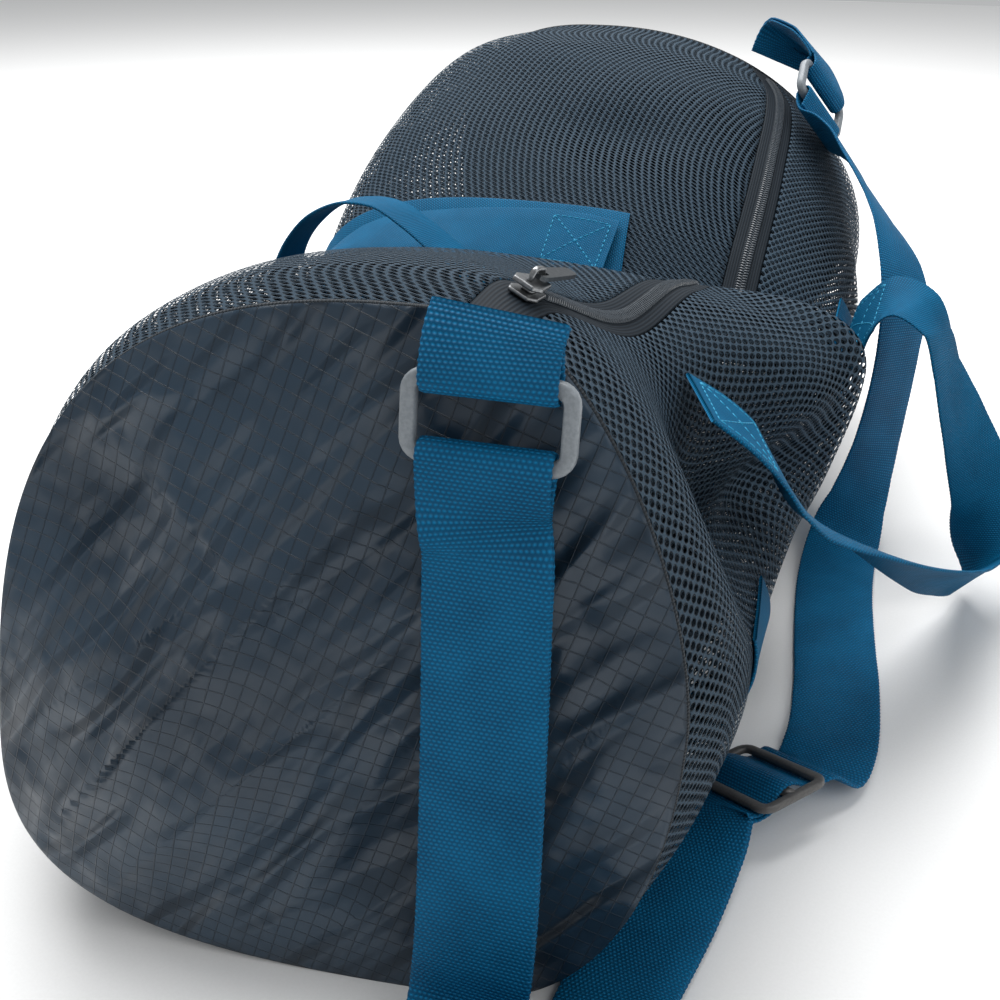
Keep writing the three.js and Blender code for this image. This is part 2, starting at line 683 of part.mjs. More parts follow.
// Shoulder strap: doubled from the slide to the near ring, single from the
// slide to the far ring. Rows give places as shares of the bag's width,
// length and height, and the direction of the band's width.
const doubledRows = [
  { x: 0.228, y: 0.088, z: 0.036, acrossX: 0.93, acrossY: -0.25, acrossZ: 0.25 },
  { x: 0.210, y: 0.028, z: 0.018, acrossX: 0.96, acrossY: -0.25, acrossZ: 0.08 },
  { x: 0.184, y: -0.044, z: 0.018, acrossX: 0.97, acrossY: -0.12, acrossZ: 0.05 },
  { x: 0.169, y: -0.100, z: 0.041, acrossX: 0.93, acrossY: -0.05, acrossZ: 0.35 },
  { x: 0.140, y: -0.148, z: 0.086, acrossX: 0.55, acrossY: -0.10, acrossZ: 0.80 },
  { x: 0.092, y: -0.168, z: 0.104, acrossX: 0.00, acrossY: -0.30, acrossZ: 0.95 },
  { x: 0.051, y: -0.154, z: 0.086, acrossX: -0.65, acrossY: -0.35, acrossZ: 0.65 },
  { x: 0.033, y: -0.132, z: 0.041, acrossX: -0.95, acrossY: -0.12, acrossZ: 0.25 },
  { x: 0.029, y: -0.114, z: 0.077, acrossX: -0.98, acrossY: -0.10, acrossZ: 0.00 },
  { x: 0.033, y: -0.104, z: 0.189, acrossX: -0.98, acrossY: -0.08, acrossZ: 0.00 },
  { x: 0.022, y: -0.070, z: 0.486, acrossX: -1.00, acrossY: -0.05, acrossZ: 0.00 },
  { x: 0.012, y: -0.047, z: 0.744, acrossX: -1.00, acrossY: 0.00, acrossZ: 0.00 },
];
const singleRows = [
  { x: 0.357, y: 0.192, z: 0.027, acrossX: 0.90, acrossY: -0.40, acrossZ: 0.12 },
  { x: 0.382, y: 0.240, z: 0.014, acrossX: 1.00, acrossY: 0.00, acrossZ: 0.00 },
  { x: 0.379, y: 0.320, z: 0.014, acrossX: 0.97, acrossY: 0.20, acrossZ: 0.00 },
  { x: 0.360, y: 0.410, z: 0.014, acrossX: 0.97, acrossY: 0.20, acrossZ: 0.00 },
  { x: 0.346, y: 0.504, z: 0.014, acrossX: 0.99, acrossY: 0.05, acrossZ: 0.00 },
  { x: 0.349, y: 0.572, z: 0.032, acrossX: 0.95, acrossY: 0.15, acrossZ: -0.10 },
  { x: 0.364, y: 0.610, z: 0.113, acrossX: 0.75, acrossY: 0.60, acrossZ: -0.20 },
  { x: 0.379, y: 0.636, z: 0.261, acrossX: 0.60, acrossY: 0.78, acrossZ: -0.10 },
  { x: 0.386, y: 0.650, z: 0.450, acrossX: 0.55, acrossY: 0.83, acrossZ: 0.00 },
  { x: 0.379, y: 0.666, z: 0.599, acrossX: 0.60, acrossY: 0.70, acrossZ: -0.30 },
  { x: 0.349, y: 0.700, z: 0.689, acrossX: 0.65, acrossY: 0.30, acrossZ: -0.65 },
  { x: 0.301, y: 0.744, z: 0.752, acrossX: 0.60, acrossY: 0.20, acrossZ: -0.72 },
  { x: 0.243, y: 0.792, z: 0.811, acrossX: 0.55, acrossY: 0.30, acrossZ: -0.75 },
  { x: 0.190, y: 0.840, z: 0.861, acrossX: 0.50, acrossY: 0.45, acrossZ: -0.72 },
];
const strapStep = 17;
const slideBarPitch = slideDepth / 2 + slideBar / 2;
const slidePlace = lattice(0.285, 0.158, 0.066);
const slideAhead = new THREE.Vector3(0.62, 0.78, 0).normalize();
const slideLong = new THREE.Vector3(0.72, -0.58, 0.34);
slideLong.addScaledVector(slideAhead, -slideLong.dot(slideAhead)).normalize();
const slideUp = slideLong.clone().cross(slideAhead);
const slideRise = slideWall / 2 + layerGap + webWall / 2;

function slideSample(ahead, up) {
  // A point of the strap told from the slide's middle bar.
  const place = slidePlace.clone().addScaledVector(slideAhead, ahead).addScaledVector(slideUp, up);
  return { place, across: slideLong.clone() };
}

function shoulderStrap() {
  const slotEnd = slideBarPitch - slideBar * 0.6;
  const slotStart = slideBar * 0.6;
  const under = slideRise + 2 * layerStep;
  const entry = slideSample(-slideBarPitch - slideBar * 2, -slideRise - layerStep);
  const nearBar = { place: nearRing.strapBar, across: nearRing.long.clone().negate() };
  const nearLead = {
    place: nearRing.strapBar.clone().addScaledVector(nearRing.down, webWidth * 0.4),
    across: nearRing.long.clone().negate(),
  };
  const doubled = sampleRows([entry, ...doubledRows.map(waypoint)], strapStep);
  const exit = slideSample(slideBarPitch + slideBar * 2, -slideRise);
  const farLead = {
    place: farRing.strapBar.clone().addScaledVector(farRing.down, webWidth * 0.3),
    across: farRing.long.clone(),
  };
  const single = sampleRows([exit, ...singleRows.map(waypoint), farLead], strapStep);
  const farBar = { place: farRing.strapBar, across: farRing.long.clone() };
  const farLoop = loopRound([single[single.length - 2], farLead, farBar], 1, layerStep, wrapRadius, 6);
  return [
    slideSample(slotStart * 2, -slideRise),
    slideSample(-slotStart, -slideRise - layerStep * 0.2),
    slideSample(-slotEnd, -under),
    slideSample(-slideBarPitch - slideBar * 0.6, -under),
    ...loopRound([...doubled, nearLead, nearBar], -1, layerStep, wrapRadius, 6),
    slideSample(-slideBarPitch - slideBar * 0.6, -slideRise),
    slideSample(-slotEnd, -slideRise),
    slideSample(-slotStart, slideRise),
    slideSample(slotStart, slideRise),
    slideSample(slotEnd, -slideRise),
    slideSample(slideBarPitch + slideBar * 0.6, -slideRise),
    ...single.slice(0, -2),
    ...farLoop.slice(0, -1),
  ];
}
addPiece('shoulder_strap', ribbon(shoulderStrap(), webWidth, webWall), webColour, 0.7, 0);
addPiece('tri_glide', turnedTo(oblongRing(ringLength, slideDepth, slideBar, slideWall, 2), slidePlace,
  slideLong, slideAhead), 0x6b6a68, 0.5, 0);

// Carry handles: legs sewn on the mesh from the base cloth up, and the free
// band between each pair of legs
const legs = [
  { name: 'leg_right_near', at: 0.215, low: 0.262, high: 0.165, lift: 0.75 },
  { name: 'leg_right_far', at: 0.630, low: 0.262, high: 0.060, lift: 1.25 },
  { name: 'leg_left_near', at: 0.470, low: 0.668, high: 0.930, lift: 1.75 },
  { name: 'leg_left_far', at: 0.597, low: 0.655, high: 0.930, lift: 1.75 },
];
const legSteps = 11;

function legBody(row) {
  // A band lying on the body's surface, just off the mesh.
  const outer = [];
  const inner = [];
  const half = webWidth / 2 / bagLength;
  for (let i = 0; i <= legSteps; i += 1) {
    const turn = row.low + ((row.high - row.low) * i) / legSteps;
    for (let j = -1; j <= 1; j += 1) {
      outer.push(liftedPoint(row.at + j * half, turn, row.lift + webWall));
      inner.push(liftedPoint(row.at + j * half, turn, row.lift));
    }
  }
  return thicken(outer, inner, gridFaces(legSteps + 1, 3));
}
for (const row of legs) addPiece(row.name, legBody(row), webColour, 0.7, 0);

const leftHandleRows = [
  { x: -0.171, y: 0.584, z: 0.692, acrossX: -0.10, acrossY: 0.80, acrossZ: 0.55 },
  { x: -0.277, y: 0.582, z: 0.706, acrossX: -0.10, acrossY: 0.80, acrossZ: 0.55 },
  { x: -0.405, y: 0.579, z: 0.704, acrossX: -0.10, acrossY: 0.85, acrossZ: 0.50 },
  { x: -0.539, y: 0.573, z: 0.697, acrossX: -0.10, acrossY: 0.92, acrossZ: 0.35 },
  { x: -0.664, y: 0.569, z: 0.677, acrossX: -0.10, acrossY: 0.97, acrossZ: 0.20 },
  { x: -0.757, y: 0.556, z: 0.622, acrossX: -0.10, acrossY: 1.00, acrossZ: 0.00 },
  { x: -0.801, y: 0.528, z: 0.532, acrossX: -0.10, acrossY: 1.00, acrossZ: 0.00 },
  { x: -0.794, y: 0.496, z: 0.568, acrossX: -0.10, acrossY: 1.00, acrossZ: 0.00 },
  { x: -0.750, y: 0.480, z: 0.694, acrossX: -0.10, acrossY: 1.00, acrossZ: -0.10 },
  { x: -0.662, y: 0.476, z: 0.797, acrossX: -0.10, acrossY: 1.00, acrossZ: -0.15 },
  { x: -0.559, y: 0.476, z: 0.820, acrossX: 0.00, acrossY: 1.00, acrossZ: -0.20 },
  { x: -0.463, y: 0.472, z: 0.766, acrossX: 0.00, acrossY: 1.00, acrossZ: -0.20 },
  { x: -0.369, y: 0.471, z: 0.683, acrossX: 0.00, acrossY: 1.00, acrossZ: -0.15 },
  { x: -0.246, y: 0.478, z: 0.647, acrossX: 0.00, acrossY: 1.00, acrossZ: -0.10 },
];
const rightHandleRows = [
  { x: 0.145, y: 0.174, z: 0.769, acrossX: -0.20, acrossY: 0.97, acrossZ: -0.15 },
  { x: 0.219, y: 0.195, z: 0.687, acrossX: -0.20, acrossY: 0.97, acrossZ: -0.10 },
  { x: 0.294, y: 0.236, z: 0.514, acrossX: -0.30, acrossY: 0.90, acrossZ: -0.30 },
  { x: 0.397, y: 0.302, z: 0.378, acrossX: -0.55, acrossY: 0.75, acrossZ: -0.35 },
  { x: 0.496, y: 0.380, z: 0.243, acrossX: -0.60, acrossY: 0.50, acrossZ: -0.60 },
  { x: 0.559, y: 0.456, z: 0.144, acrossX: -0.60, acrossY: 0.25, acrossZ: -0.75 },
  { x: 0.610, y: 0.524, z: 0.108, acrossX: -0.50, acrossY: -0.10, acrossZ: -0.85 },
  { x: 0.588, y: 0.552, z: 0.216, acrossX: -0.50, acrossY: -0.50, acrossZ: -0.70 },
  { x: 0.533, y: 0.554, z: 0.360, acrossX: -0.30, acrossY: -0.70, acrossZ: -0.60 },
  { x: 0.478, y: 0.548, z: 0.505, acrossX: 0.00, acrossY: -0.80, acrossZ: -0.60 },
  { x: 0.430, y: 0.564, z: 0.622, acrossX: 0.30, acrossY: -0.80, acrossZ: -0.40 },
  { x: 0.368, y: 0.582, z: 0.653, acrossX: 0.40, acrossY: -0.85, acrossZ: 0.00 },
  { x: 0.320, y: 0.598, z: 0.587, acrossX: 0.30, acrossY: -0.90, acrossZ: 0.10 },
  { x: 0.299, y: 0.613, z: 0.489, acrossX: 0.20, acrossY: -0.95, acrossZ: 0.10 },
];
const handleStep = 18;

function handleBody(rows) {
  return ribbon(sampleRows(rows.map(waypoint), handleStep), webWidth, webWall);
}
addPiece('handle_left', handleBody(leftHandleRows), webColour, 0.7, 0);
addPiece('handle_right', handleBody(rightHandleRows), webColour, 0.7, 0);

// Set the origin at the middle of the box's bottom
const box = new THREE.Box3().setFromObject(bag);
const middle = box.getCenter(new THREE.Vector3());
for (const mesh of bag.children) mesh.geometry.translate(-middle.x, -middle.y, -box.min.z);

export default bag;
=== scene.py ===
import logging
import math
from collections.abc import Callable
from dataclasses import dataclass, field
from enum import Enum

import bpy
import numpy as np
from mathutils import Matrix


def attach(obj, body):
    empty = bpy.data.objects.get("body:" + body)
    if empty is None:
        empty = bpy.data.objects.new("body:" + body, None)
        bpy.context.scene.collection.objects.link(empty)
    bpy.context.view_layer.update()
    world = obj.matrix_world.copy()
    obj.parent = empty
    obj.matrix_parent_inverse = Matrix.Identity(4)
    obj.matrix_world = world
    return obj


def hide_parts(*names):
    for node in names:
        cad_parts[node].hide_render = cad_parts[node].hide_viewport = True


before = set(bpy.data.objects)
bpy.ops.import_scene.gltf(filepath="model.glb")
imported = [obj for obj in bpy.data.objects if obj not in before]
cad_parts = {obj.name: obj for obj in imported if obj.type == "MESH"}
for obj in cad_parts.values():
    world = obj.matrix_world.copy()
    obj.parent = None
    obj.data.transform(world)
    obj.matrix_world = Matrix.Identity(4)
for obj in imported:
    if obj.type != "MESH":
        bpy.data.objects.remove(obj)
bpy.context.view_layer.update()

LOG = logging.getLogger("mesh_duffel")
MM = 0.001
Shape = Callable[[np.ndarray, np.ndarray], np.ndarray]

# Sizes of the solid model in millimetres, and below them its powers and shares
BAG_LENGTH = 500
BAG_WIDTH = 272
BAG_HEIGHT = 222
MESH_WALL = 1.6
BASE_WALL = 1.2
PANEL_WALL = 1.0
SEAM_GAP = 0.42
PANEL_GAP = 0.8
TAPE_WIDTH = 19
TAPE_WALL = 0.9
COIL_WIDTH = 5.6
COIL_HEIGHT = 1.6
SLIDER_LENGTH = 14
SLIDER_WIDTH = 9.5
SLIDER_HEIGHT = 4.6
PULL_LENGTH = 26
PULL_WIDTH = 5.4
PULL_WALL = 1.4
BRIDGE_BAR = 1.2
BRIDGE_WIDTH = 1.6
BRIDGE_LENGTH = 8
BRIDGE_HEIGHT = 4.2
EYE_BAR = 1.4
EYE_LENGTH = 4.6
EYE_WIDTH = 3
PIVOT_LIFT = 1.6
WEB_WIDTH = 38
WEB_WALL = 1.5
LAYER_GAP = 0.5
BAR_GAP = 1.1
RING_BAR = 4.6
RING_DEPTH = 17
SLIDE_BAR = 4
SLIDE_DEPTH = 26
SLIDE_WALL = 3
STRAP_STEP = 17
HANDLE_STEP = 18
FLOOR_POWER_LEFT = 3.0
FLOOR_POWER_RIGHT = 2.3
PANEL_DOME = 0.012
COIL_FIRST = 2 / 34
COIL_LAST = 33 / 34

# Samples of a curve's span, and points of a rim, a bar and the pull's outline
CURVE_SAMPLES = 40
COARSE_RIM = 36
BAR_CORNERS = 16
PULL_POINTS = 40
# Powers of the rounded sections, the pull's eye and the grid's core
BAR_POWER = 2 / 3.4
ARCH_POWER = 0.45
EYE_ROUNDING = 0.7
GRID_CORE = 0.4
# Turn and station steps that give the zip's directions
SIDE_STEP = 0.01
AHEAD_STEP = 0.004
# A wide crease's spread, and the part of a half sine that runs along it
CREASE_SPREAD = 6
CREASE_START = 0.15
CREASE_RUN = 0.7

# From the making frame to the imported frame, in millimetres
SHIFT = np.array([28.6609, -220.7595, -0.0017])
BAG_BOX = np.array([BAG_WIDTH, BAG_LENGTH, BAG_HEIGHT])

# Cross-sections along the bag, a row for each, with the columns named below
SECTIONS = np.array([
    [0.00, -0.010, 0.600, 0.235, 1.015, 0.37, 0.50, 2.70, 1.60, -0.18, 0.05, -0.012, 0.300, 0.320],
    [0.05, -0.060, 0.610, 0.320, 1.025, 0.38, 0.49, 2.50, 1.65, -0.17, 0.05, -0.002, 0.300, 0.320],
    [0.20, -0.200, 0.590, 0.490, 0.935, 0.38, 0.46, 2.15, 1.90, -0.12, 0.03, 0.035, 0.270, 0.325],
    [0.38, -0.230, 0.535, 0.545, 0.790, 0.38, 0.62, 2.20, 2.70, -0.04, 0.00, 0.055, 0.250, 0.330],
    [0.45, -0.235, 0.545, 0.520, 0.640, 0.36, 0.42, 2.40, 2.50, 0.00, 0.00, 0.070, 0.250, 0.330],
    [0.53, -0.240, 0.550, 0.530, 0.580, 0.34, 0.36, 2.60, 2.30, 0.00, 0.00, 0.080, 0.260, 0.335],
    [0.64, -0.290, 0.575, 0.590, 0.760, 0.38, 0.42, 3.00, 2.00, 0.02, 0.00, 0.080, 0.270, 0.350],
    [0.76, -0.360, 0.520, 0.660, 0.930, 0.42, 0.48, 3.20, 2.00, 0.05, 0.00, 0.075, 0.290, 0.370],
    [0.90, -0.400, 0.455, 0.690, 1.050, 0.44, 0.50, 3.20, 2.00, 0.08, 0.00, 0.050, 0.300, 0.370],
    [1.00, -0.400, 0.400, 0.620, 1.065, 0.46, 0.50, 2.80, 2.10, 0.12, 0.00, -0.015, 0.300, 0.370],
])
SECTION_COLUMNS = ["at", "centre", "left", "right", "top", "bellyLeft", "bellyRight", "roundLeft",
                   "roundRight", "lean", "twist", "zip", "seamRight", "seamLeft"]

# Folds of the body: at, turn, along, around, out, ahead, up
FOLDS = np.array([
    [0.20, 0.105, 0.085, 0.055, -0.200, 0.00, 0.00],
    [0.29, 0.150, 0.060, 0.030, -0.120, 0.00, 0.00],
    [0.385, 0.100, 0.022, 0.080, 0.030, 0.00, 0.02],
    [0.52, 0.130, 0.060, 0.060, -0.060, 0.00, 0.00],
    [0.45, 0.860, 0.035, 0.070, -0.040, 0.00, 0.00],
    [0.74, 0.900, 0.040, 0.050, -0.035, 0.00, 0.00],
    [0.86, 0.820, 0.050, 0.050, 0.025, 0.00, 0.00],
    [0.84, 0.130, 0.080, 0.050, -0.050, 0.00, 0.00],
    [0.12, 0.720, 0.050, 0.060, -0.030, 0.00, 0.00],
])

# Wide creases of the end cloths: from x, from z, to x, to z, out, reach
NEAR_CREASES = np.array([
    [-0.95, -0.60, 0.10, 0.45, 0.030, 0.035],
    [-0.60, -0.85, 0.20, 0.10, 0.026, 0.030],
    [-0.55, 0.75, -0.75, 0.05, -0.024, 0.040],
    [0.15, -0.90, 0.45, 0.20, -0.020, 0.040],
])

FAR_CREASES = np.array([
    [-0.80, 0.50, 0.20, -0.30, 0.026, 0.040],
    [-0.10, -0.80, 0.55, 0.30, -0.024, 0.040],
])

# Paths of the webbing: x, y, z as shares of the bag, and the width direction
NEAR_TAB_ROWS = np.array([
    [0.002, -0.010, 1.027, 1.00, 0.05, -0.05],
])

FAR_TAB_ROWS = np.array([
    [0.015, 1.012, 0.986, 0.93, 0.00, -0.36],
    [0.033, 1.012, 1.045, 0.85, 0.15, -0.50],
    [0.081, 0.982, 1.041, 0.65, 0.35, -0.65],
])

DOUBLED_ROWS = np.array([
    [0.228, 0.088, 0.036, 0.93, -0.25, 0.25],
    [0.210, 0.028, 0.018, 0.96, -0.25, 0.08],
    [0.184, -0.044, 0.018, 0.97, -0.12, 0.05],
    [0.169, -0.100, 0.041, 0.93, -0.05, 0.35],
    [0.140, -0.148, 0.086, 0.55, -0.10, 0.80],
    [0.092, -0.168, 0.104, 0.00, -0.30, 0.95],
    [0.051, -0.154, 0.086, -0.65, -0.35, 0.65],
    [0.033, -0.132, 0.041, -0.95, -0.12, 0.25],
    [0.029, -0.114, 0.077, -0.98, -0.10, 0.00],
    [0.033, -0.104, 0.189, -0.98, -0.08, 0.00],
    [0.022, -0.070, 0.486, -1.00, -0.05, 0.00],
    [0.012, -0.047, 0.744, -1.00, 0.00, 0.00],
])

SINGLE_ROWS = np.array([
    [0.357, 0.192, 0.027, 0.90, -0.40, 0.12],
    [0.382, 0.240, 0.014, 1.00, 0.00, 0.00],
    [0.379, 0.320, 0.014, 0.97, 0.20, 0.00],
    [0.360, 0.410, 0.014, 0.97, 0.20, 0.00],
    [0.346, 0.504, 0.014, 0.99, 0.05, 0.00],
    [0.349, 0.572, 0.032, 0.95, 0.15, -0.10],
    [0.364, 0.610, 0.113, 0.75, 0.60, -0.20],
    [0.379, 0.636, 0.261, 0.60, 0.78, -0.10],
    [0.386, 0.650, 0.450, 0.55, 0.83, 0.00],
    [0.379, 0.666, 0.599, 0.60, 0.70, -0.30],
    [0.349, 0.700, 0.689, 0.65, 0.30, -0.65],
    [0.301, 0.744, 0.752, 0.60, 0.20, -0.72],
    [0.243, 0.792, 0.811, 0.55, 0.30, -0.75],
    [0.190, 0.840, 0.861, 0.50, 0.45, -0.72],
])

LEFT_HANDLE_ROWS = np.array([
    [-0.171, 0.584, 0.692, -0.10, 0.80, 0.55],
    [-0.277, 0.582, 0.706, -0.10, 0.80, 0.55],
    [-0.405, 0.579, 0.704, -0.10, 0.85, 0.50],
    [-0.539, 0.573, 0.697, -0.10, 0.92, 0.35],
    [-0.664, 0.569, 0.677, -0.10, 0.97, 0.20],
    [-0.757, 0.556, 0.622, -0.10, 1.00, 0.00],
    [-0.801, 0.528, 0.532, -0.10, 1.00, 0.00],
    [-0.794, 0.496, 0.568, -0.10, 1.00, 0.00],
    [-0.750, 0.480, 0.694, -0.10, 1.00, -0.10],
    [-0.662, 0.476, 0.797, -0.10, 1.00, -0.15],
    [-0.559, 0.476, 0.820, 0.00, 1.00, -0.20],
    [-0.463, 0.472, 0.766, 0.00, 1.00, -0.20],
    [-0.369, 0.471, 0.683, 0.00, 1.00, -0.15],
    [-0.246, 0.478, 0.647, 0.00, 1.00, -0.10],
])

RIGHT_HANDLE_ROWS = np.array([
    [0.145, 0.174, 0.769, -0.20, 0.97, -0.15],
    [0.219, 0.195, 0.687, -0.20, 0.97, -0.10],
    [0.294, 0.236, 0.514, -0.30, 0.90, -0.30],
    [0.397, 0.302, 0.378, -0.55, 0.75, -0.35],
    [0.496, 0.380, 0.243, -0.60, 0.50, -0.60],
    [0.559, 0.456, 0.144, -0.60, 0.25, -0.75],
    [0.610, 0.524, 0.108, -0.50, -0.10, -0.85],
    [0.588, 0.552, 0.216, -0.50, -0.50, -0.70],
    [0.533, 0.554, 0.360, -0.30, -0.70, -0.60],
    [0.478, 0.548, 0.505, 0.00, -0.80, -0.60],
    [0.430, 0.564, 0.622, 0.30, -0.80, -0.40],
    [0.368, 0.582, 0.653, 0.40, -0.85, 0.00],
    [0.320, 0.598, 0.587, 0.30, -0.90, 0.10],
    [0.299, 0.613, 0.489, 0.20, -0.95, 0.10],
])

# Where the rings and the slide lie, as shares of the bag, with their directions
NEAR_RING_ROW = (0.002, -0.029, 0.905, 1.00, 0.08, 0.00, 0.00, -0.22, -0.97)
FAR_RING_ROW = (0.136, 0.914, 0.928, 0.50, 0.50, -0.70, 0.00, -0.85, -0.53)
SLIDE_PLACE = (0.285, 0.158, 0.066)
SLIDE_AHEAD = (0.62, 0.78, 0)
SLIDE_LONG = (0.72, -0.58, 0.34)

# Sewn legs of the handles: node, station, and the turns of both ends
LEGS = (
    ("leg_right_near", 0.215, 0.262, 0.165),
    ("leg_right_far", 0.630, 0.262, 0.060),
    ("leg_left_near", 0.470, 0.668, 0.930),
    ("leg_left_far", 0.597, 0.655, 0.930),
)

# Sharp folds of the end cloths: from x, from z, to x, to z, out in millimetres, reach
NEAR_FINE_CREASES = np.array([
    [-0.72, -0.85, 0.22, 0.80, 6.5, 0.050],
    [-0.66, -0.30, 0.00, 0.52, 3.6, 0.040],
    [-0.56, -0.92, 0.28, 0.36, 5.5, 0.045],
    [-0.20, 0.08, 0.24, 0.58, -4.5, 0.050],
    [-0.02, 1.00, -0.34, 0.66, -3.5, 0.045],
    [-0.22, 1.00, -0.62, 0.40, 3.6, 0.050],
    [-0.14, -1.00, 0.24, 0.06, 4.0, 0.040],
    [0.60, 0.20, 0.42, -0.26, 2.8, 0.035],
    [0.40, 0.70, 0.54, 0.02, -2.4, 0.040],
    [-0.70, 0.16, -0.32, 0.56, -3.0, 0.045],
    [-0.50, 0.66, -0.08, 0.28, 2.6, 0.040],
    [0.28, -0.44, -0.08, -0.98, 3.0, 0.040],
    [-0.80, -0.55, -0.30, -0.10, -2.8, 0.040],
    [0.06, 0.20, 0.40, -0.60, 2.2, 0.040],
])

FAR_FINE_CREASES = np.array([
    [-0.80, 0.60, 0.40, -0.40, 5.0, 0.050],
    [-0.60, -0.80, 0.50, 0.20, 4.6, 0.045],
    [-0.20, 0.80, 0.60, 0.10, -3.5, 0.045],
    [0.10, -0.90, 0.90, -0.20, 3.5, 0.045],
    [-0.90, -0.20, -0.20, 0.30, 3.0, 0.040],
])

# Lamps of the studio: name, place, side in metres, power in watts
LAMPS = (
    ("window_lamp", (-0.45, 0.65, 1.65), 1.7, 58.0),
    ("fill_lamp", (1.3, -0.5, 1.3), 1.4, 7.0),
)
LAMP_TARGET = (0.0, 0.0, 0.1)
WORLD_COLOUR = (0.97, 0.985, 1.0)
WORLD_STRENGTH = 0.48


class Finish(Enum):
    """Names of the finishes that the pieces are dressed in."""

    MESH = "knitted_mesh"
    BASE = "coated_base_cloth"
    RIPSTOP = "ripstop_cloth"
    WEB_COARSE = "webbing_coarse"
    WEB_FINE = "webbing_fine"
    TAPE = "zip_tape_cloth"
    TEETH = "zip_teeth_plastic"
    METAL = "slider_metal"
    PULL = "pull_metal"
    RING = "ring_plastic"
    SLIDE = "slide_plastic"
    BINDING = "seam_binding"
    THREAD = "sewing_thread"
    FLOOR = "pale_floor"


def unit(vectors: np.ndarray) -> np.ndarray:
    """Vectors divided by their lengths, along the last axis."""
    return vectors / np.maximum(np.linalg.norm(vectors, axis=-1, keepdims=True), 1e-12)


def turn_about(vector: np.ndarray, axis: np.ndarray, angles: np.ndarray) -> np.ndarray:
    """Turn one vector about an axis by many angles.

    Args:
        vector: The vector.
        axis: Unit axis.
        angles: Angles in radians.

    Returns:
        One turned vector for each angle: v cos a + (k x v) sin a + k (k.v)(1 - cos a).
    """
    cosine = np.cos(angles)[:, None]
    sine = np.sin(angles)[:, None]
    along = axis * float(np.dot(axis, vector))
    return vector * cosine + np.cross(axis, vector) * sine + along * (1 - cosine)


def running_length(path: np.ndarray) -> np.ndarray:
    """Running sum of a path's steps, from 0, in one value for each point."""
    return np.concatenate([[0], np.cumsum(np.linalg.norm(np.diff(path, axis=0), axis=1))])


def read_along(marks: np.ndarray, run: np.ndarray, values: np.ndarray) -> np.ndarray:
    """Columns of values read at given lengths, straight between their samples."""
    return np.stack([np.interp(marks, run, column) for column in values.T], axis=-1)


def path_direction(path: np.ndarray, closed: bool = False) -> np.ndarray:
    """Unit direction at each point of a path, from its two neighbours.

    Args:
        path: Points.
        closed: Whether the path joins its own start.

    Returns:
        Directions, n by 3.
    """
    if closed:
        return unit(np.roll(path, -1, axis=0) - np.roll(path, 1, axis=0))
    return unit(np.gradient(path, axis=0))


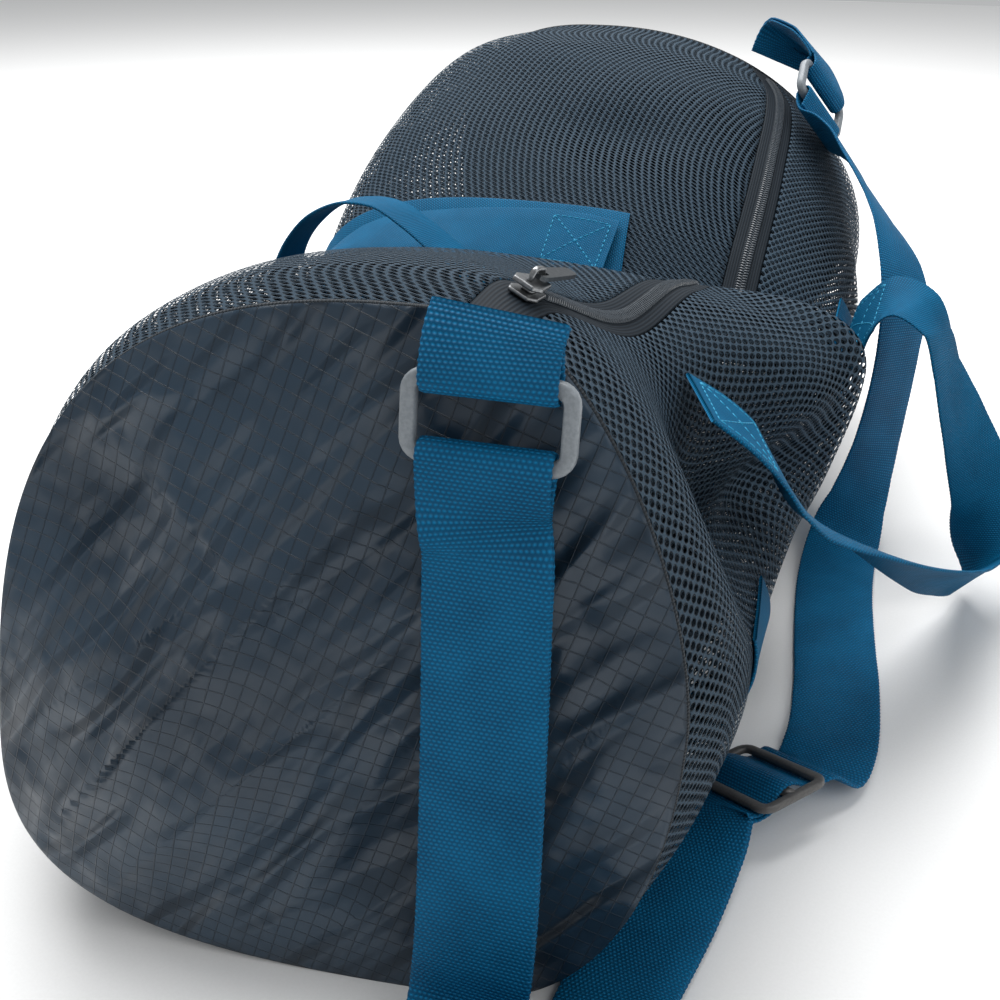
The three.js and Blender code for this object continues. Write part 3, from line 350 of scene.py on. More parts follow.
@dataclass
class BagSurface:
    """The bag's outer surface as a function of station and turn.

    Sizes are in millimetres. A station is the share of the length, a turn the
    share of the outline's length from the zip, right side first.
    """

    length: float = BAG_LENGTH
    width: float = BAG_WIDTH
    height: float = BAG_HEIGHT
    fine_points: int = 432
    halvings: int = 30
    step: float = 0.002

    def column(self, name: str, at: np.ndarray) -> np.ndarray:
        """Catmull-Rom through one column of the section table.

        Args:
            name: Column name.
            at: Stations.

        Returns:
            The column's value at each station.
        """
        knots = SECTIONS[:, 0]
        values = SECTIONS[:, SECTION_COLUMNS.index(name)]
        last = len(knots) - 1
        i = np.clip(np.searchsorted(knots, at, side="left") - 1, 0, last - 1)
        span = knots[i + 1] - knots[i]
        t = np.clip((at - knots[i]) / span, 0, 1)
        before = np.maximum(i - 1, 0)
        after = np.minimum(i + 2, last)
        rise = values[i + 1] - values[i]
        slope_in = (values[i + 1] - values[before]) * span / (knots[i + 1] - knots[before])
        slope_out = (values[after] - values[i]) * span / (knots[after] - knots[i])
        m1 = np.where(i == 0, rise, slope_in)
        m2 = np.where(i + 1 == last, rise, slope_out)
        t2 = t * t
        t3 = t2 * t
        return (values[i] * (2 * t3 - 3 * t2 + 1) + m1 * (t3 - 2 * t2 + t)
                + values[i + 1] * (3 * t2 - 2 * t3) + m2 * (t3 - t2))

    def section(self, at: np.ndarray) -> dict[str, np.ndarray]:
        """The named values of the cross-section at each station, as column vectors."""
        return {name: self.column(name, at)[:, None] for name in SECTION_COLUMNS[1:]}

    def full_turn(self) -> np.ndarray:
        """Angles of the outline's fine points, from 0 to a whole turn."""
        return np.linspace(0, 2 * math.pi, self.fine_points + 1)[None, :]

    def outline(self, row: dict[str, np.ndarray], angle: np.ndarray
                ) -> tuple[np.ndarray, np.ndarray]:
        """Superellipse quarters about the crown: reach * |sin|^p and rise * |cos|^p.

        Args:
            row: Section values, one column vector each.
            angle: Angles from the crown, clockwise seen from the near end.

        Returns:
            The x and z of each point.
        """
        side = np.sin(angle)
        rise = np.cos(angle)
        right = side >= 0
        top = row["top"] * self.height
        belly = np.where(right, row["bellyRight"], row["bellyLeft"]) * self.height
        reach = np.where(right, row["right"], row["left"]) * self.width
        upper = np.where(right, row["roundRight"], row["roundLeft"])
        lower = np.where(right, FLOOR_POWER_RIGHT, FLOOR_POWER_LEFT)
        power = 2 / np.where(rise >= 0, upper, lower)
        x = row["centre"] * self.width + np.sign(side) * reach * np.abs(side) ** power
        high = belly + (top - belly) * np.abs(rise) ** power
        low = belly - belly * np.abs(rise) ** power
        return x, np.where(rise >= 0, high, low)

    def plain(self, at: np.ndarray, turn: np.ndarray) -> np.ndarray:
        """The surface without folds: the outline by arc length, leaned along y.

        Args:
            at: Stations, one per grid row.
            turn: Turns, one row of the grid per station.

        Returns:
            Points in millimetres, rows by columns by 3.
        """
        row = self.section(at)
        zip_x = row["zip"] * self.width
        low = np.where(zip_x < row["centre"] * self.width, -math.pi / 2, 0.0)
        high = low + math.pi / 2
        for _ in range(self.halvings):
            middle = (low + high) / 2
            below = self.outline(row, middle)[0] < zip_x
            low = np.where(below, middle, low)
            high = np.where(below, high, middle)
        angles = (low + high) / 2 + self.full_turn()
        xs, zs = self.outline(row, angles)
        steps = np.hypot(np.diff(xs, axis=1), np.diff(zs, axis=1))
        running = np.concatenate([np.zeros((len(at), 1)), np.cumsum(steps, axis=1)], axis=1)
        wanted = (turn - np.floor(turn)) * running[:, -1:]
        x = np.array([np.interp(w, r, values) for w, r, values in zip(wanted, running, xs)])
        z = np.array([np.interp(w, r, values) for w, r, values in zip(wanted, running, zs)])
        down = 1 - z / (row["top"] * self.height)
        sideways = (x / self.width - row["centre"]) / row["right"]
        y = at[:, None] * self.length + down * self.height * (row["lean"] + row["twist"] * sideways)
        return np.stack([x, y, z], axis=-1)

    def outline_length(self, at: np.ndarray) -> np.ndarray:
        """Length of the outline at each station, summed over its fine points."""
        xs, zs = self.outline(self.section(at), self.full_turn())
        return np.hypot(np.diff(xs, axis=1), np.diff(zs, axis=1)).sum(axis=1)

    def outward(self, shape: Shape, at: np.ndarray, turn: np.ndarray) -> np.ndarray:
        """Unit normals: the step around crossed with the step along.

        Args:
            shape: Function of stations and turns that gives points.
            at: Stations.
            turn: Turns.

        Returns:
            Normals that point out of the bag.
        """
        step = self.step
        ahead = shape(np.minimum(at + step, 1), turn) - shape(np.maximum(at - step, 0), turn)
        around = shape(at, turn + step) - shape(at, turn - step)
        return unit(np.cross(around, ahead))

    def body(self, at: np.ndarray, turn: np.ndarray) -> np.ndarray:
        """The folded surface: plain plus a bell-shaped push for each fold.

        Args:
            at: Stations.
            turn: Turns.

        Returns:
            Points in millimetres, no lower than the floor.
        """
        points = self.plain(at, turn)
        normals = self.outward(self.plain, at, turn)
        wrapped = turn - np.floor(turn)
        for fold_at, fold_turn, along, around, out, ahead, up in FOLDS:
            gap = wrapped - fold_turn
            gap = gap - np.round(gap)
            bell = np.exp(-((at[:, None] - fold_at) / along) ** 2 - (gap / around) ** 2)
            weight = bell * self.height
            points += normals * (out * weight)[..., None]
            points[..., 1] += ahead * weight
            points[..., 2] += up * weight
        points[..., 2] = np.maximum(points[..., 2], 0)
        return points

    def lifted(self, at: np.ndarray, turn: np.ndarray, lift: float) -> np.ndarray:
        """The folded surface moved out along its own normals by lift millimetres."""
        return self.body(at, turn) + self.outward(self.body, at, turn) * lift


@dataclass
class Piece:
    """A grid of points made into one mesh object that rides on the bag."""

    name: str
    body: str = "bag"
    nodes: tuple[str, ...] = ()
    slot: str = ""

    def build(self, points: np.ndarray, faces: np.ndarray, uv: np.ndarray | None,
              finish: bpy.types.Material, smooth: bool = True) -> bpy.types.Object:
        """Put points and faces into a mesh, dress it and place it on its body.

        Args:
            points: Points in millimetres in the making frame, n by 3.
            faces: Corner indices, m by 4, or m by 3.
            uv: Surface coordinates in metres, n by 2, or None.
            finish: Material.
            smooth: Whether the faces are shaded smooth.

        Returns:
            The finished object.
        """
        mesh = bpy.data.meshes.new(self.name)
        mesh.from_pydata(((points + SHIFT) * MM).tolist(), [], faces.tolist())
        if uv is not None:
            layer = mesh.uv_layers.new(name="surface")
            corners = np.empty(len(mesh.loops), dtype=np.int64)
            mesh.loops.foreach_get("vertex_index", corners)
            layer.data.foreach_set("uv", uv[corners].astype(np.float32).ravel())
        mesh.polygons.foreach_set("use_smooth", np.full(len(mesh.polygons), smooth))
        mesh.materials.append(finish)
        mesh.validate()
        item = bpy.data.objects.new(self.name, mesh)
        bpy.context.scene.collection.objects.link(item)
        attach(item, self.body)
        if self.nodes:
            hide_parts(*self.nodes)
        LOG.info("%s: %d faces", self.name, len(faces))
        return item


def grid_faces(rows: int, columns: int, closed: bool = False) -> np.ndarray:
    """Quads of a grid whose points are numbered row by row.

    Args:
        rows: Number of rows.
        columns: Number of columns.
        closed: Whether the last column joins the first.

    Returns:
        Corner indices, m by 4.
    """
    across = columns if closed else columns - 1
    i, j = np.meshgrid(np.arange(rows - 1), np.arange(across), indexing="ij")
    nxt = (j + 1) % columns
    low, high = i * columns, (i + 1) * columns
    return np.stack([low + j, low + nxt, high + nxt, high + j], axis=-1).reshape(-1, 4)


def band_uv(u: np.ndarray, run: np.ndarray) -> np.ndarray:
    """Surface coordinates of a band: its own width across and its length along.

    Args:
        u: Shares of the half width round its section.
        run: Length at each section, in millimetres.

    Returns:
        Coordinates in metres, one for each point.
    """
    across = np.repeat(u[None] * WEB_WIDTH / 2, len(run), axis=0)
    along = np.repeat(run[:, None], len(u), axis=1)
    return np.stack([across, along], axis=-1).reshape(-1, 2) * MM


def band_faces(rows: int, columns: int) -> np.ndarray:
    """Quads of a closed flat band: its skin and its two ends.

    Args:
        rows: Number of sections.
        columns: Number of points in a section, an even number.

    Returns:
        Corner indices, m by 4.
    """
    skin = grid_faces(rows, columns, closed=True)
    k = np.arange(columns // 2)
    cap = np.stack([k, (columns - k) % columns, columns - k - 1, k + 1], axis=1)
    far = cap + (rows - 1) * columns
    return np.concatenate([skin, cap[:, ::-1], far])


def wall(item: bpy.types.Object, thickness: float) -> None:
    """Give a single skin its wall, which grows inwards.

    Args:
        item: Object to thicken.
        thickness: Wall in millimetres.
    """
    solid = item.modifiers.new("wall", "SOLIDIFY")
    solid.thickness = thickness * MM
    solid.offset = -1


def smooth_curve(points: np.ndarray, across: np.ndarray, step: float
                 ) -> tuple[np.ndarray, np.ndarray]:
    """Centripetal Catmull-Rom through points, sampled at equal steps of length.

    Args:
        points: Points in millimetres.
        across: Width direction at each point.
        step: Distance between samples.

    Returns:
        Sampled points and unit width directions, each square to the path.
    """
    ends = np.concatenate([[2 * points[0] - points[1]], points, [2 * points[-1] - points[-2]]])
    gaps = np.maximum(np.sum(np.diff(ends, axis=0) ** 2, axis=1) ** 0.25, 1e-4)
    t = np.linspace(0, len(points) - 1, CURVE_SAMPLES * (len(points) - 1) + 1)
    i = np.minimum(t.astype(int), len(points) - 2)
    w = (t - i)[:, None]
    p0, p1, p2, p3 = ends[i], ends[i + 1], ends[i + 2], ends[i + 3]
    d0, d1, d2 = gaps[i][:, None], gaps[i + 1][:, None], gaps[i + 2][:, None]
    t1 = ((p1 - p0) / d0 - (p2 - p0) / (d0 + d1) + (p2 - p1) / d1) * d1
    t2 = ((p2 - p1) / d1 - (p3 - p1) / (d1 + d2) + (p3 - p2) / d2) * d1
    dense = (p1 + t1 * w + (-3 * p1 + 3 * p2 - 2 * t1 - t2) * w ** 2
             + (2 * p1 - 2 * p2 + t1 + t2) * w ** 3)
    wide = across[i] * (1 - w) + across[i + 1] * w
    run = running_length(dense)
    count = max(2, round(run[-1] / step))
    marks = np.linspace(0, run[-1], count + 1)
    place = read_along(marks, run, dense)
    wide = read_along(marks, run, wide)
    tangent = path_direction(place)
    wide = unit(wide - tangent * np.sum(wide * tangent, axis=1, keepdims=True))
    return place, wide


def path_tangent(points: np.ndarray, i: int) -> np.ndarray:
    """Unit direction of a path at point i, from its two neighbours."""
    last = len(points) - 1
    return unit(points[min(i + 1, last)] - points[max(i - 1, 0)])


def loop_round(points: np.ndarray, across: np.ndarray, side: float, spread: float,
               radius: float, steps: int) -> tuple[np.ndarray, np.ndarray]:
    """Two layers along a path, joined by a half turn about its end point.

    Args:
        points: The path's points.
        across: Width directions along it.
        side: Side of the path that the first layer lies on, 1 or -1.
        spread: Distance of each layer from the path.
        radius: Radius of the half turn.
        steps: Number of steps of the half turn.

    Returns:
        Points and width directions of the whole band.
    """
    last = len(points) - 1
    faces = np.array([unit(np.cross(path_tangent(points, i), across[i]))
                      for i in range(last)])
    flat = unit(across[last])
    start = unit(np.cross(path_tangent(points, last), flat)) * side * radius
    turned = turn_about(start, flat, side * math.pi * np.arange(steps + 1) / steps) + points[last]
    first = points[:last] + faces * side * spread
    second = (points[:last] - faces * side * spread)[::-1]
    band = np.concatenate([first, turned, second])
    bend = np.repeat(flat[None], steps + 1, axis=0)
    return band, np.concatenate([across[:last], bend, across[:last][::-1]])


def rows_of(table: np.ndarray) -> tuple[np.ndarray, np.ndarray]:
    """Places in millimetres and width directions of a webbing table."""
    return table[:, :3] * BAG_BOX, table[:, 3:6]


@dataclass
class RingFrame:
    """Where a ring lies, with its bars' direction and the way down to the strap."""

    row: tuple[float, ...]
    pitch: float = RING_DEPTH / 2 + RING_BAR / 2
    centre: np.ndarray = field(init=False)
    long: np.ndarray = field(init=False)
    down: np.ndarray = field(init=False)

    def __post_init__(self) -> None:
        """Work out the directions and the middle."""
        values = np.array(self.row)
        self.centre = values[:3] * BAG_BOX
        self.long = unit(values[3:6])
        self.down = unit(values[6:9] - self.long * np.dot(values[6:9], self.long))

    def bar(self, side: float) -> np.ndarray:
        """Middle of the tab's bar for side -1, or of the strap's for side 1."""
        return self.centre + self.down * self.pitch * side


@dataclass
class Band:
    """A length of woven webbing with rounded selvages along a path."""

    width: float = WEB_WIDTH
    thickness: float = WEB_WALL
    step: float = 1.15
    scallop: float = 0.007
    selvage_from: float = 0.98
    selvage_share: float = 0.6

    def surface(self, points: np.ndarray, across: np.ndarray
                ) -> tuple[np.ndarray, np.ndarray, np.ndarray]:
        """Carry a flat rounded section along the smooth path through the points.

        Each point is the path's place plus u times the half width across it and the
        section's height along its face, and the selvages step in and out by turns.

        Args:
            points: Path points in millimetres.
            across: Width directions.

        Returns:
            Points, faces and surface coordinates of the closed band.
        """
        place, wide = smooth_curve(points, across, self.step)
        face = unit(np.cross(path_direction(place), wide))
        run = running_length(place)
        u, height = self.section()
        scallop = 1 + self.scallop * np.cos(math.pi * np.arange(len(place)))
        rise = np.abs(wide[:, 2]) * self.width + np.abs(face[:, 2]) * self.thickness
        place[:, 2] = np.maximum(place[:, 2], rise / 2)
        reach = scallop[:, None] * u[None] * self.width / 2
        grid = place[:, None] + wide[:, None] * reach[..., None]
        grid = grid + face[:, None] * height[None, :, None]
        return grid.reshape(-1, 3), band_faces(len(place), len(u)), band_uv(u, run)

    def section(self) -> tuple[np.ndarray, np.ndarray]:
        """The flat section's places across, from -1 to 1 and back, and their heights.

        Returns:
            Shares of the half width and heights in millimetres.
        """
        top = np.array([-1, -0.985, -0.94, -0.5, 0, 0.5, 0.94, 0.985, 1])
        u = np.concatenate([top, top[-2:0:-1]])
        side = np.concatenate([[0], np.ones(7), [0], -np.ones(7)])
        thinned = np.where(np.abs(u) > self.selvage_from, self.selvage_share, 1.0)
        half = thinned * self.thickness / 2
        return u, half * side


@dataclass
class NodeChain:
    """Short calls that add and join shader nodes in one tree."""

    tree: bpy.types.NodeTree

    def add(self, kind: str, **settings: object) -> bpy.types.Node:
        """Add a node and set its properties.

        Args:
            kind: Blender's node type.
            **settings: Properties of the node.

        Returns:
            The node.
        """
        node = self.tree.nodes.new(kind)
        for key, value in settings.items():
            setattr(node, key, value)
        return node

    def feed(self, node: bpy.types.Node, socket: str | int, value: object) -> None:
        """Join an output to a socket, or set the socket's own value.

        Args:
            node: Node that receives.
            socket: Name or number of its input.
            value: Output socket, number or tuple.
        """
        if isinstance(value, bpy.types.NodeSocket):
            self.tree.links.new(value, node.inputs[socket])
        else:
            node.inputs[socket].default_value = value

    def math(self, operation: str, *values: object) -> bpy.types.NodeSocket:
        """Work out one number from others.

        Args:
            operation: Name of the Math node's operation.
            *values: Sockets or numbers.

        Returns:
            The result.
        """
        node = self.add("ShaderNodeMath", operation=operation)
        for i, value in enumerate(values):
            self.feed(node, i, value)
        return node.outputs[0]

    def vector(self, operation: str, *values: object) -> bpy.types.NodeSocket:
        """Work out one vector, or the length of one, from others.

        Args:
            operation: Name of the Vector Math node's operation.
            *values: Sockets or tuples.

        Returns:
            The result.
        """
        node = self.add("ShaderNodeVectorMath", operation=operation)
        for i, value in enumerate(values):
            self.feed(node, i, value)
        return node.outputs["Value" if operation == "LENGTH" else "Vector"]

    def between(self, value: object, low: float, high: float, to_low: float = 0.0,
                to_high: float = 1.0) -> bpy.types.NodeSocket:
        """Map a range smoothly to another.

        Args:
            value: Socket.
            low: Value that gives to_low.
            high: Value that gives to_high.
            to_low: Result at or under low.
            to_high: Result at or over high.

        Returns:
            The mapped value.
        """
        node = self.add("ShaderNodeMapRange", interpolation_type="SMOOTHSTEP")
        for i, item in enumerate((value, low, high, to_low, to_high)):
            self.feed(node, i, item)
        return node.outputs[0]

    def mix(self, share: object, first: object, second: object) -> bpy.types.NodeSocket:
        """Mix two colours.

        Args:
            share: Share of the second.
            first: Colour at 0.
            second: Colour at 1.

        Returns:
            The mixed colour.
        """
        node = self.add("ShaderNodeMix", data_type="RGBA")
        self.feed(node, 0, share)
        self.feed(node, 6, first)
        self.feed(node, 7, second)
        return node.outputs[2]

    def noise(self, vector: object, scale: float, detail: float = 3.0,
              output: str | int = 0) -> bpy.types.NodeSocket:
        """Smooth noise from 0 to 1.

        Args:
            vector: Coordinates.
            scale: Waves per metre.
            detail: Number of finer layers.
            output: Which output is read.

        Returns:
            The noise.
        """
        node = self.add("ShaderNodeTexNoise")
        self.feed(node, "Vector", vector)
        self.feed(node, "Scale", scale)
        self.feed(node, "Detail", detail)
        return node.outputs[output]

    def turned(self, vector: object, angle: float,
               scale: tuple[float, float, float] = (1.0, 1.0, 1.0),
               kind: str = "POINT") -> bpy.types.NodeSocket:
        """Turn and stretch a pattern's coordinates.

        Args:
            vector: Coordinates.
            angle: Turn in radians.
            scale: Stretch along each direction.
            kind: Mapping type. TEXTURE turns before it stretches.

        Returns:
            The new coordinates.
        """
        node = self.add("ShaderNodeMapping", vector_type=kind)
        self.feed(node, "Vector", vector)
        self.feed(node, "Rotation", (0.0, 0.0, angle))
        self.feed(node, "Scale", scale)
        return node.outputs[0]


def new_group(name: str, inputs: dict[str, tuple[str, object]],
              outputs: dict[str, str]) -> tuple[NodeChain, bpy.types.Node, bpy.types.Node]:
    """Make an empty node group with named sockets.

    Args:
        name: Name of the group.
        inputs: Socket type and default for each input.
        outputs: Socket type for each output.

    Returns:
        A chain on the group's tree, and its input and output nodes.
    """
    tree = bpy.data.node_groups.new(name, "ShaderNodeTree")
    for key, (kind, value) in inputs.items():
        socket = tree.interface.new_socket(key, in_out="INPUT", socket_type=kind)
        if value is not None:
            socket.default_value = value
    for key, kind in outputs.items():
        tree.interface.new_socket(key, in_out="OUTPUT", socket_type=kind)
    chain = NodeChain(tree)
    return chain, chain.add("NodeGroupInput"), chain.add("NodeGroupOutput")


def lattice_group() -> bpy.types.NodeTree:
    """Distance to the nearest point of a staggered lattice.

    Two square lattices, one moved by half a cell: the distance is the lesser of
    the lengths of the place wrapped to each lattice's nearest point.

    Returns:
        The group: Vector, Pitch and Row in, Distance out.
    """
    chain, start, end = new_group(
        "staggered_lattice",
        {"Vector": ("NodeSocketVector", None), "Pitch": ("NodeSocketFloat", 0.0045),
         "Row": ("NodeSocketFloat", 0.0027)},
        {"Distance": "NodeSocketFloat"})
    pitch, row = start.outputs["Pitch"], start.outputs["Row"]
    cell = chain.add("ShaderNodeCombineXYZ")
    chain.feed(cell, 0, pitch)
    chain.feed(cell, 1, chain.math("MULTIPLY", row, 2.0))
    chain.feed(cell, 2, 1.0)
    flat = chain.vector("MULTIPLY", start.outputs["Vector"], (1.0, 1.0, 0.0))
    cells = chain.vector("DIVIDE", flat, cell.outputs[0])
    lengths = []
    for move in (0.0, 0.5):
        moved = chain.vector("ADD", cells, (move, move, 0.0))
        near = chain.vector("WRAP", moved, (0.5, 0.5, 0.5), (-0.5, -0.5, -0.5))
        lengths.append(chain.vector("LENGTH", chain.vector("MULTIPLY", near, cell.outputs[0])))
    chain.feed(end, "Distance", chain.math("MINIMUM", *lengths))
    return chain.tree


def ribs_group() -> bpy.types.NodeTree:
    """Parallel threads: one minus the square of the sine across them.

    Returns:
        The group: Vector, Pitch and Slant in, Height out.
    """
    chain, start, end = new_group(
        "parallel_threads",
        {"Vector": ("NodeSocketVector", None), "Pitch": ("NodeSocketFloat", 0.001),
         "Slant": ("NodeSocketFloat", 0.0)},
        {"Height": "NodeSocketFloat"})
    split = chain.add("ShaderNodeSeparateXYZ")
    chain.feed(split, 0, start.outputs["Vector"])
    sloped = chain.math("MULTIPLY", split.outputs[1], start.outputs["Slant"])
    across = chain.math("ADD", split.outputs[0], sloped)
    turns = chain.math("DIVIDE", across, start.outputs["Pitch"])
    wave = chain.math("SINE", chain.math("MULTIPLY", turns, math.pi))
    chain.feed(end, "Height", chain.math("SUBTRACT", 1.0, chain.math("MULTIPLY", wave, wave)))
    return chain.tree


def grid_group() -> bpy.types.NodeTree:
    """Square grid of raised threads.

    The mask is one where the place is within Width of a line every Pitch along
    either direction.

    Returns:
        The group: Vector, Pitch and Width in, Mask out.
    """
    chain, start, end = new_group(
        "ripstop_grid",
        {"Vector": ("NodeSocketVector", None), "Pitch": ("NodeSocketFloat", 0.005),
         "Width": ("NodeSocketFloat", 0.0003)},
        {"Mask": "NodeSocketFloat"})
    split = chain.add("ShaderNodeSeparateXYZ")
    chain.feed(split, 0, start.outputs["Vector"])
    masks = []
    for i in (0, 1):
        turns = chain.math("DIVIDE", split.outputs[i], start.outputs["Pitch"])
        near = chain.math("ABSOLUTE", chain.math("WRAP", turns, 0.5, -0.5))
        gap = chain.math("MULTIPLY", near, start.outputs["Pitch"])
        share = chain.math("DIVIDE", gap, start.outputs["Width"])
        masks.append(chain.between(share, GRID_CORE, 1.0, 1.0, 0.0))
    chain.feed(end, "Mask", chain.math("MAXIMUM", *masks))
    return chain.tree


@dataclass(frozen=True)
class ClothFinish:
    """Colours and gloss of one finish in linear light, with its pattern's sizes in metres."""

    kind: Finish
    # colour is the dark end and light the light end; in the woven, knitted and ribbed finishes they
    # are painted shade and painted light
    colour: tuple[float, float, float]
    light: tuple[float, float, float]
    roughness: float
    metallic: float = 0.0
    bump: float = 0.2
    pitch: float = 0.0
    row: float = 0.0
    specular: float = 0.5


FINISHES = (
    # MESH, WEB_COARSE, WEB_FINE, THREAD, TAPE and BINDING: first colour painted shade, second
    # painted light, mixed by thread height; the rest: two ends of a random tone
    ClothFinish(Finish.MESH, (0.007, 0.012, 0.019), (0.056, 0.096, 0.138), 0.66,
                bump=0.9, pitch=0.0040, row=0.0023, specular=0.12),
    ClothFinish(Finish.BASE, (0.012, 0.022, 0.035), (0.022, 0.040, 0.062), 0.50,
                bump=0.5, pitch=0.006, row=0.0003, specular=0.30),
    ClothFinish(Finish.RIPSTOP, (0.012, 0.027, 0.046), (0.037, 0.073, 0.115), 0.37,
                bump=1.0, pitch=0.005, row=0.00024, specular=0.42),
    ClothFinish(Finish.WEB_COARSE, (0.001, 0.034, 0.084), (0.004, 0.180, 0.385), 0.55,
                bump=1.0, pitch=0.0016, row=0.00195, specular=0.11),
    ClothFinish(Finish.WEB_FINE, (0.001, 0.034, 0.080), (0.002, 0.148, 0.310), 0.60,
                bump=0.8, pitch=0.0013, row=0.0015, specular=0.08),
    ClothFinish(Finish.THREAD, (0.004, 0.120, 0.240), (0.020, 0.260, 0.440), 0.55,
                bump=0.4, pitch=0.0008, row=0.00075, specular=0.25),
    ClothFinish(Finish.TAPE, (0.005, 0.008, 0.012), (0.014, 0.021, 0.029), 0.70,
                bump=0.25, pitch=0.0014, specular=0.12),
    ClothFinish(Finish.BINDING, (0.005, 0.008, 0.012), (0.014, 0.021, 0.028), 0.60,
                bump=0.5, pitch=0.0012, specular=0.25),
    ClothFinish(Finish.TEETH, (0.055, 0.066, 0.078), (0.085, 0.100, 0.116), 0.30, bump=0.1),
    ClothFinish(Finish.METAL, (0.200, 0.208, 0.215), (0.290, 0.298, 0.305), 0.32, metallic=0.95),
    ClothFinish(Finish.PULL, (0.050, 0.058, 0.066), (0.085, 0.094, 0.102), 0.35, metallic=0.8),
    ClothFinish(Finish.RING, (0.190, 0.212, 0.232), (0.235, 0.260, 0.282), 0.42),
    ClothFinish(Finish.SLIDE, (0.070, 0.068, 0.066), (0.095, 0.092, 0.089), 0.40),
    ClothFinish(Finish.FLOOR, (0.860, 0.860, 0.855), (0.880, 0.880, 0.875), 0.85, bump=0.02),
)


@dataclass
class Coat(NodeChain):
    """One material in the making: its node tree with the shader and the finish."""

    shader: bpy.types.Node
    finish: ClothFinish

    def surface(self) -> bpy.types.NodeSocket:
        """Surface coordinates in metres, from the piece's own UV map."""
        return self.add("ShaderNodeUVMap", uv_map="surface").outputs[0]

    def group(self, tree: bpy.types.NodeTree, **inputs: object) -> bpy.types.NodeSocket:
        """Place a group and give its one output.

        Args:
            tree: The group.
            **inputs: Its named inputs.

        Returns:
            The group's output.
        """
        node = self.add("ShaderNodeGroup", node_tree=tree)
        for key, value in inputs.items():
            self.feed(node, key, value)
        return node.outputs[0]

    def blend(self, share: object) -> bpy.types.NodeSocket:
        """The finish's two colours mixed by a share of the lighter one."""
        return self.mix(share, (*self.finish.colour, 1.0), (*self.finish.light, 1.0))

    def bump(self, height: bpy.types.NodeSocket, depth: float) -> None:
        """Feed a height to the shader's normal.

        Args:
            height: Height from 0 to 1.
            depth: Real height in metres of the value 1.
        """
        node = self.add("ShaderNodeBump")
        self.feed(node, "Strength", self.finish.bump)
        self.feed(node, "Distance", depth)
        self.feed(node, "Height", height)
        self.feed(self.shader, "Normal", node.outputs[0])


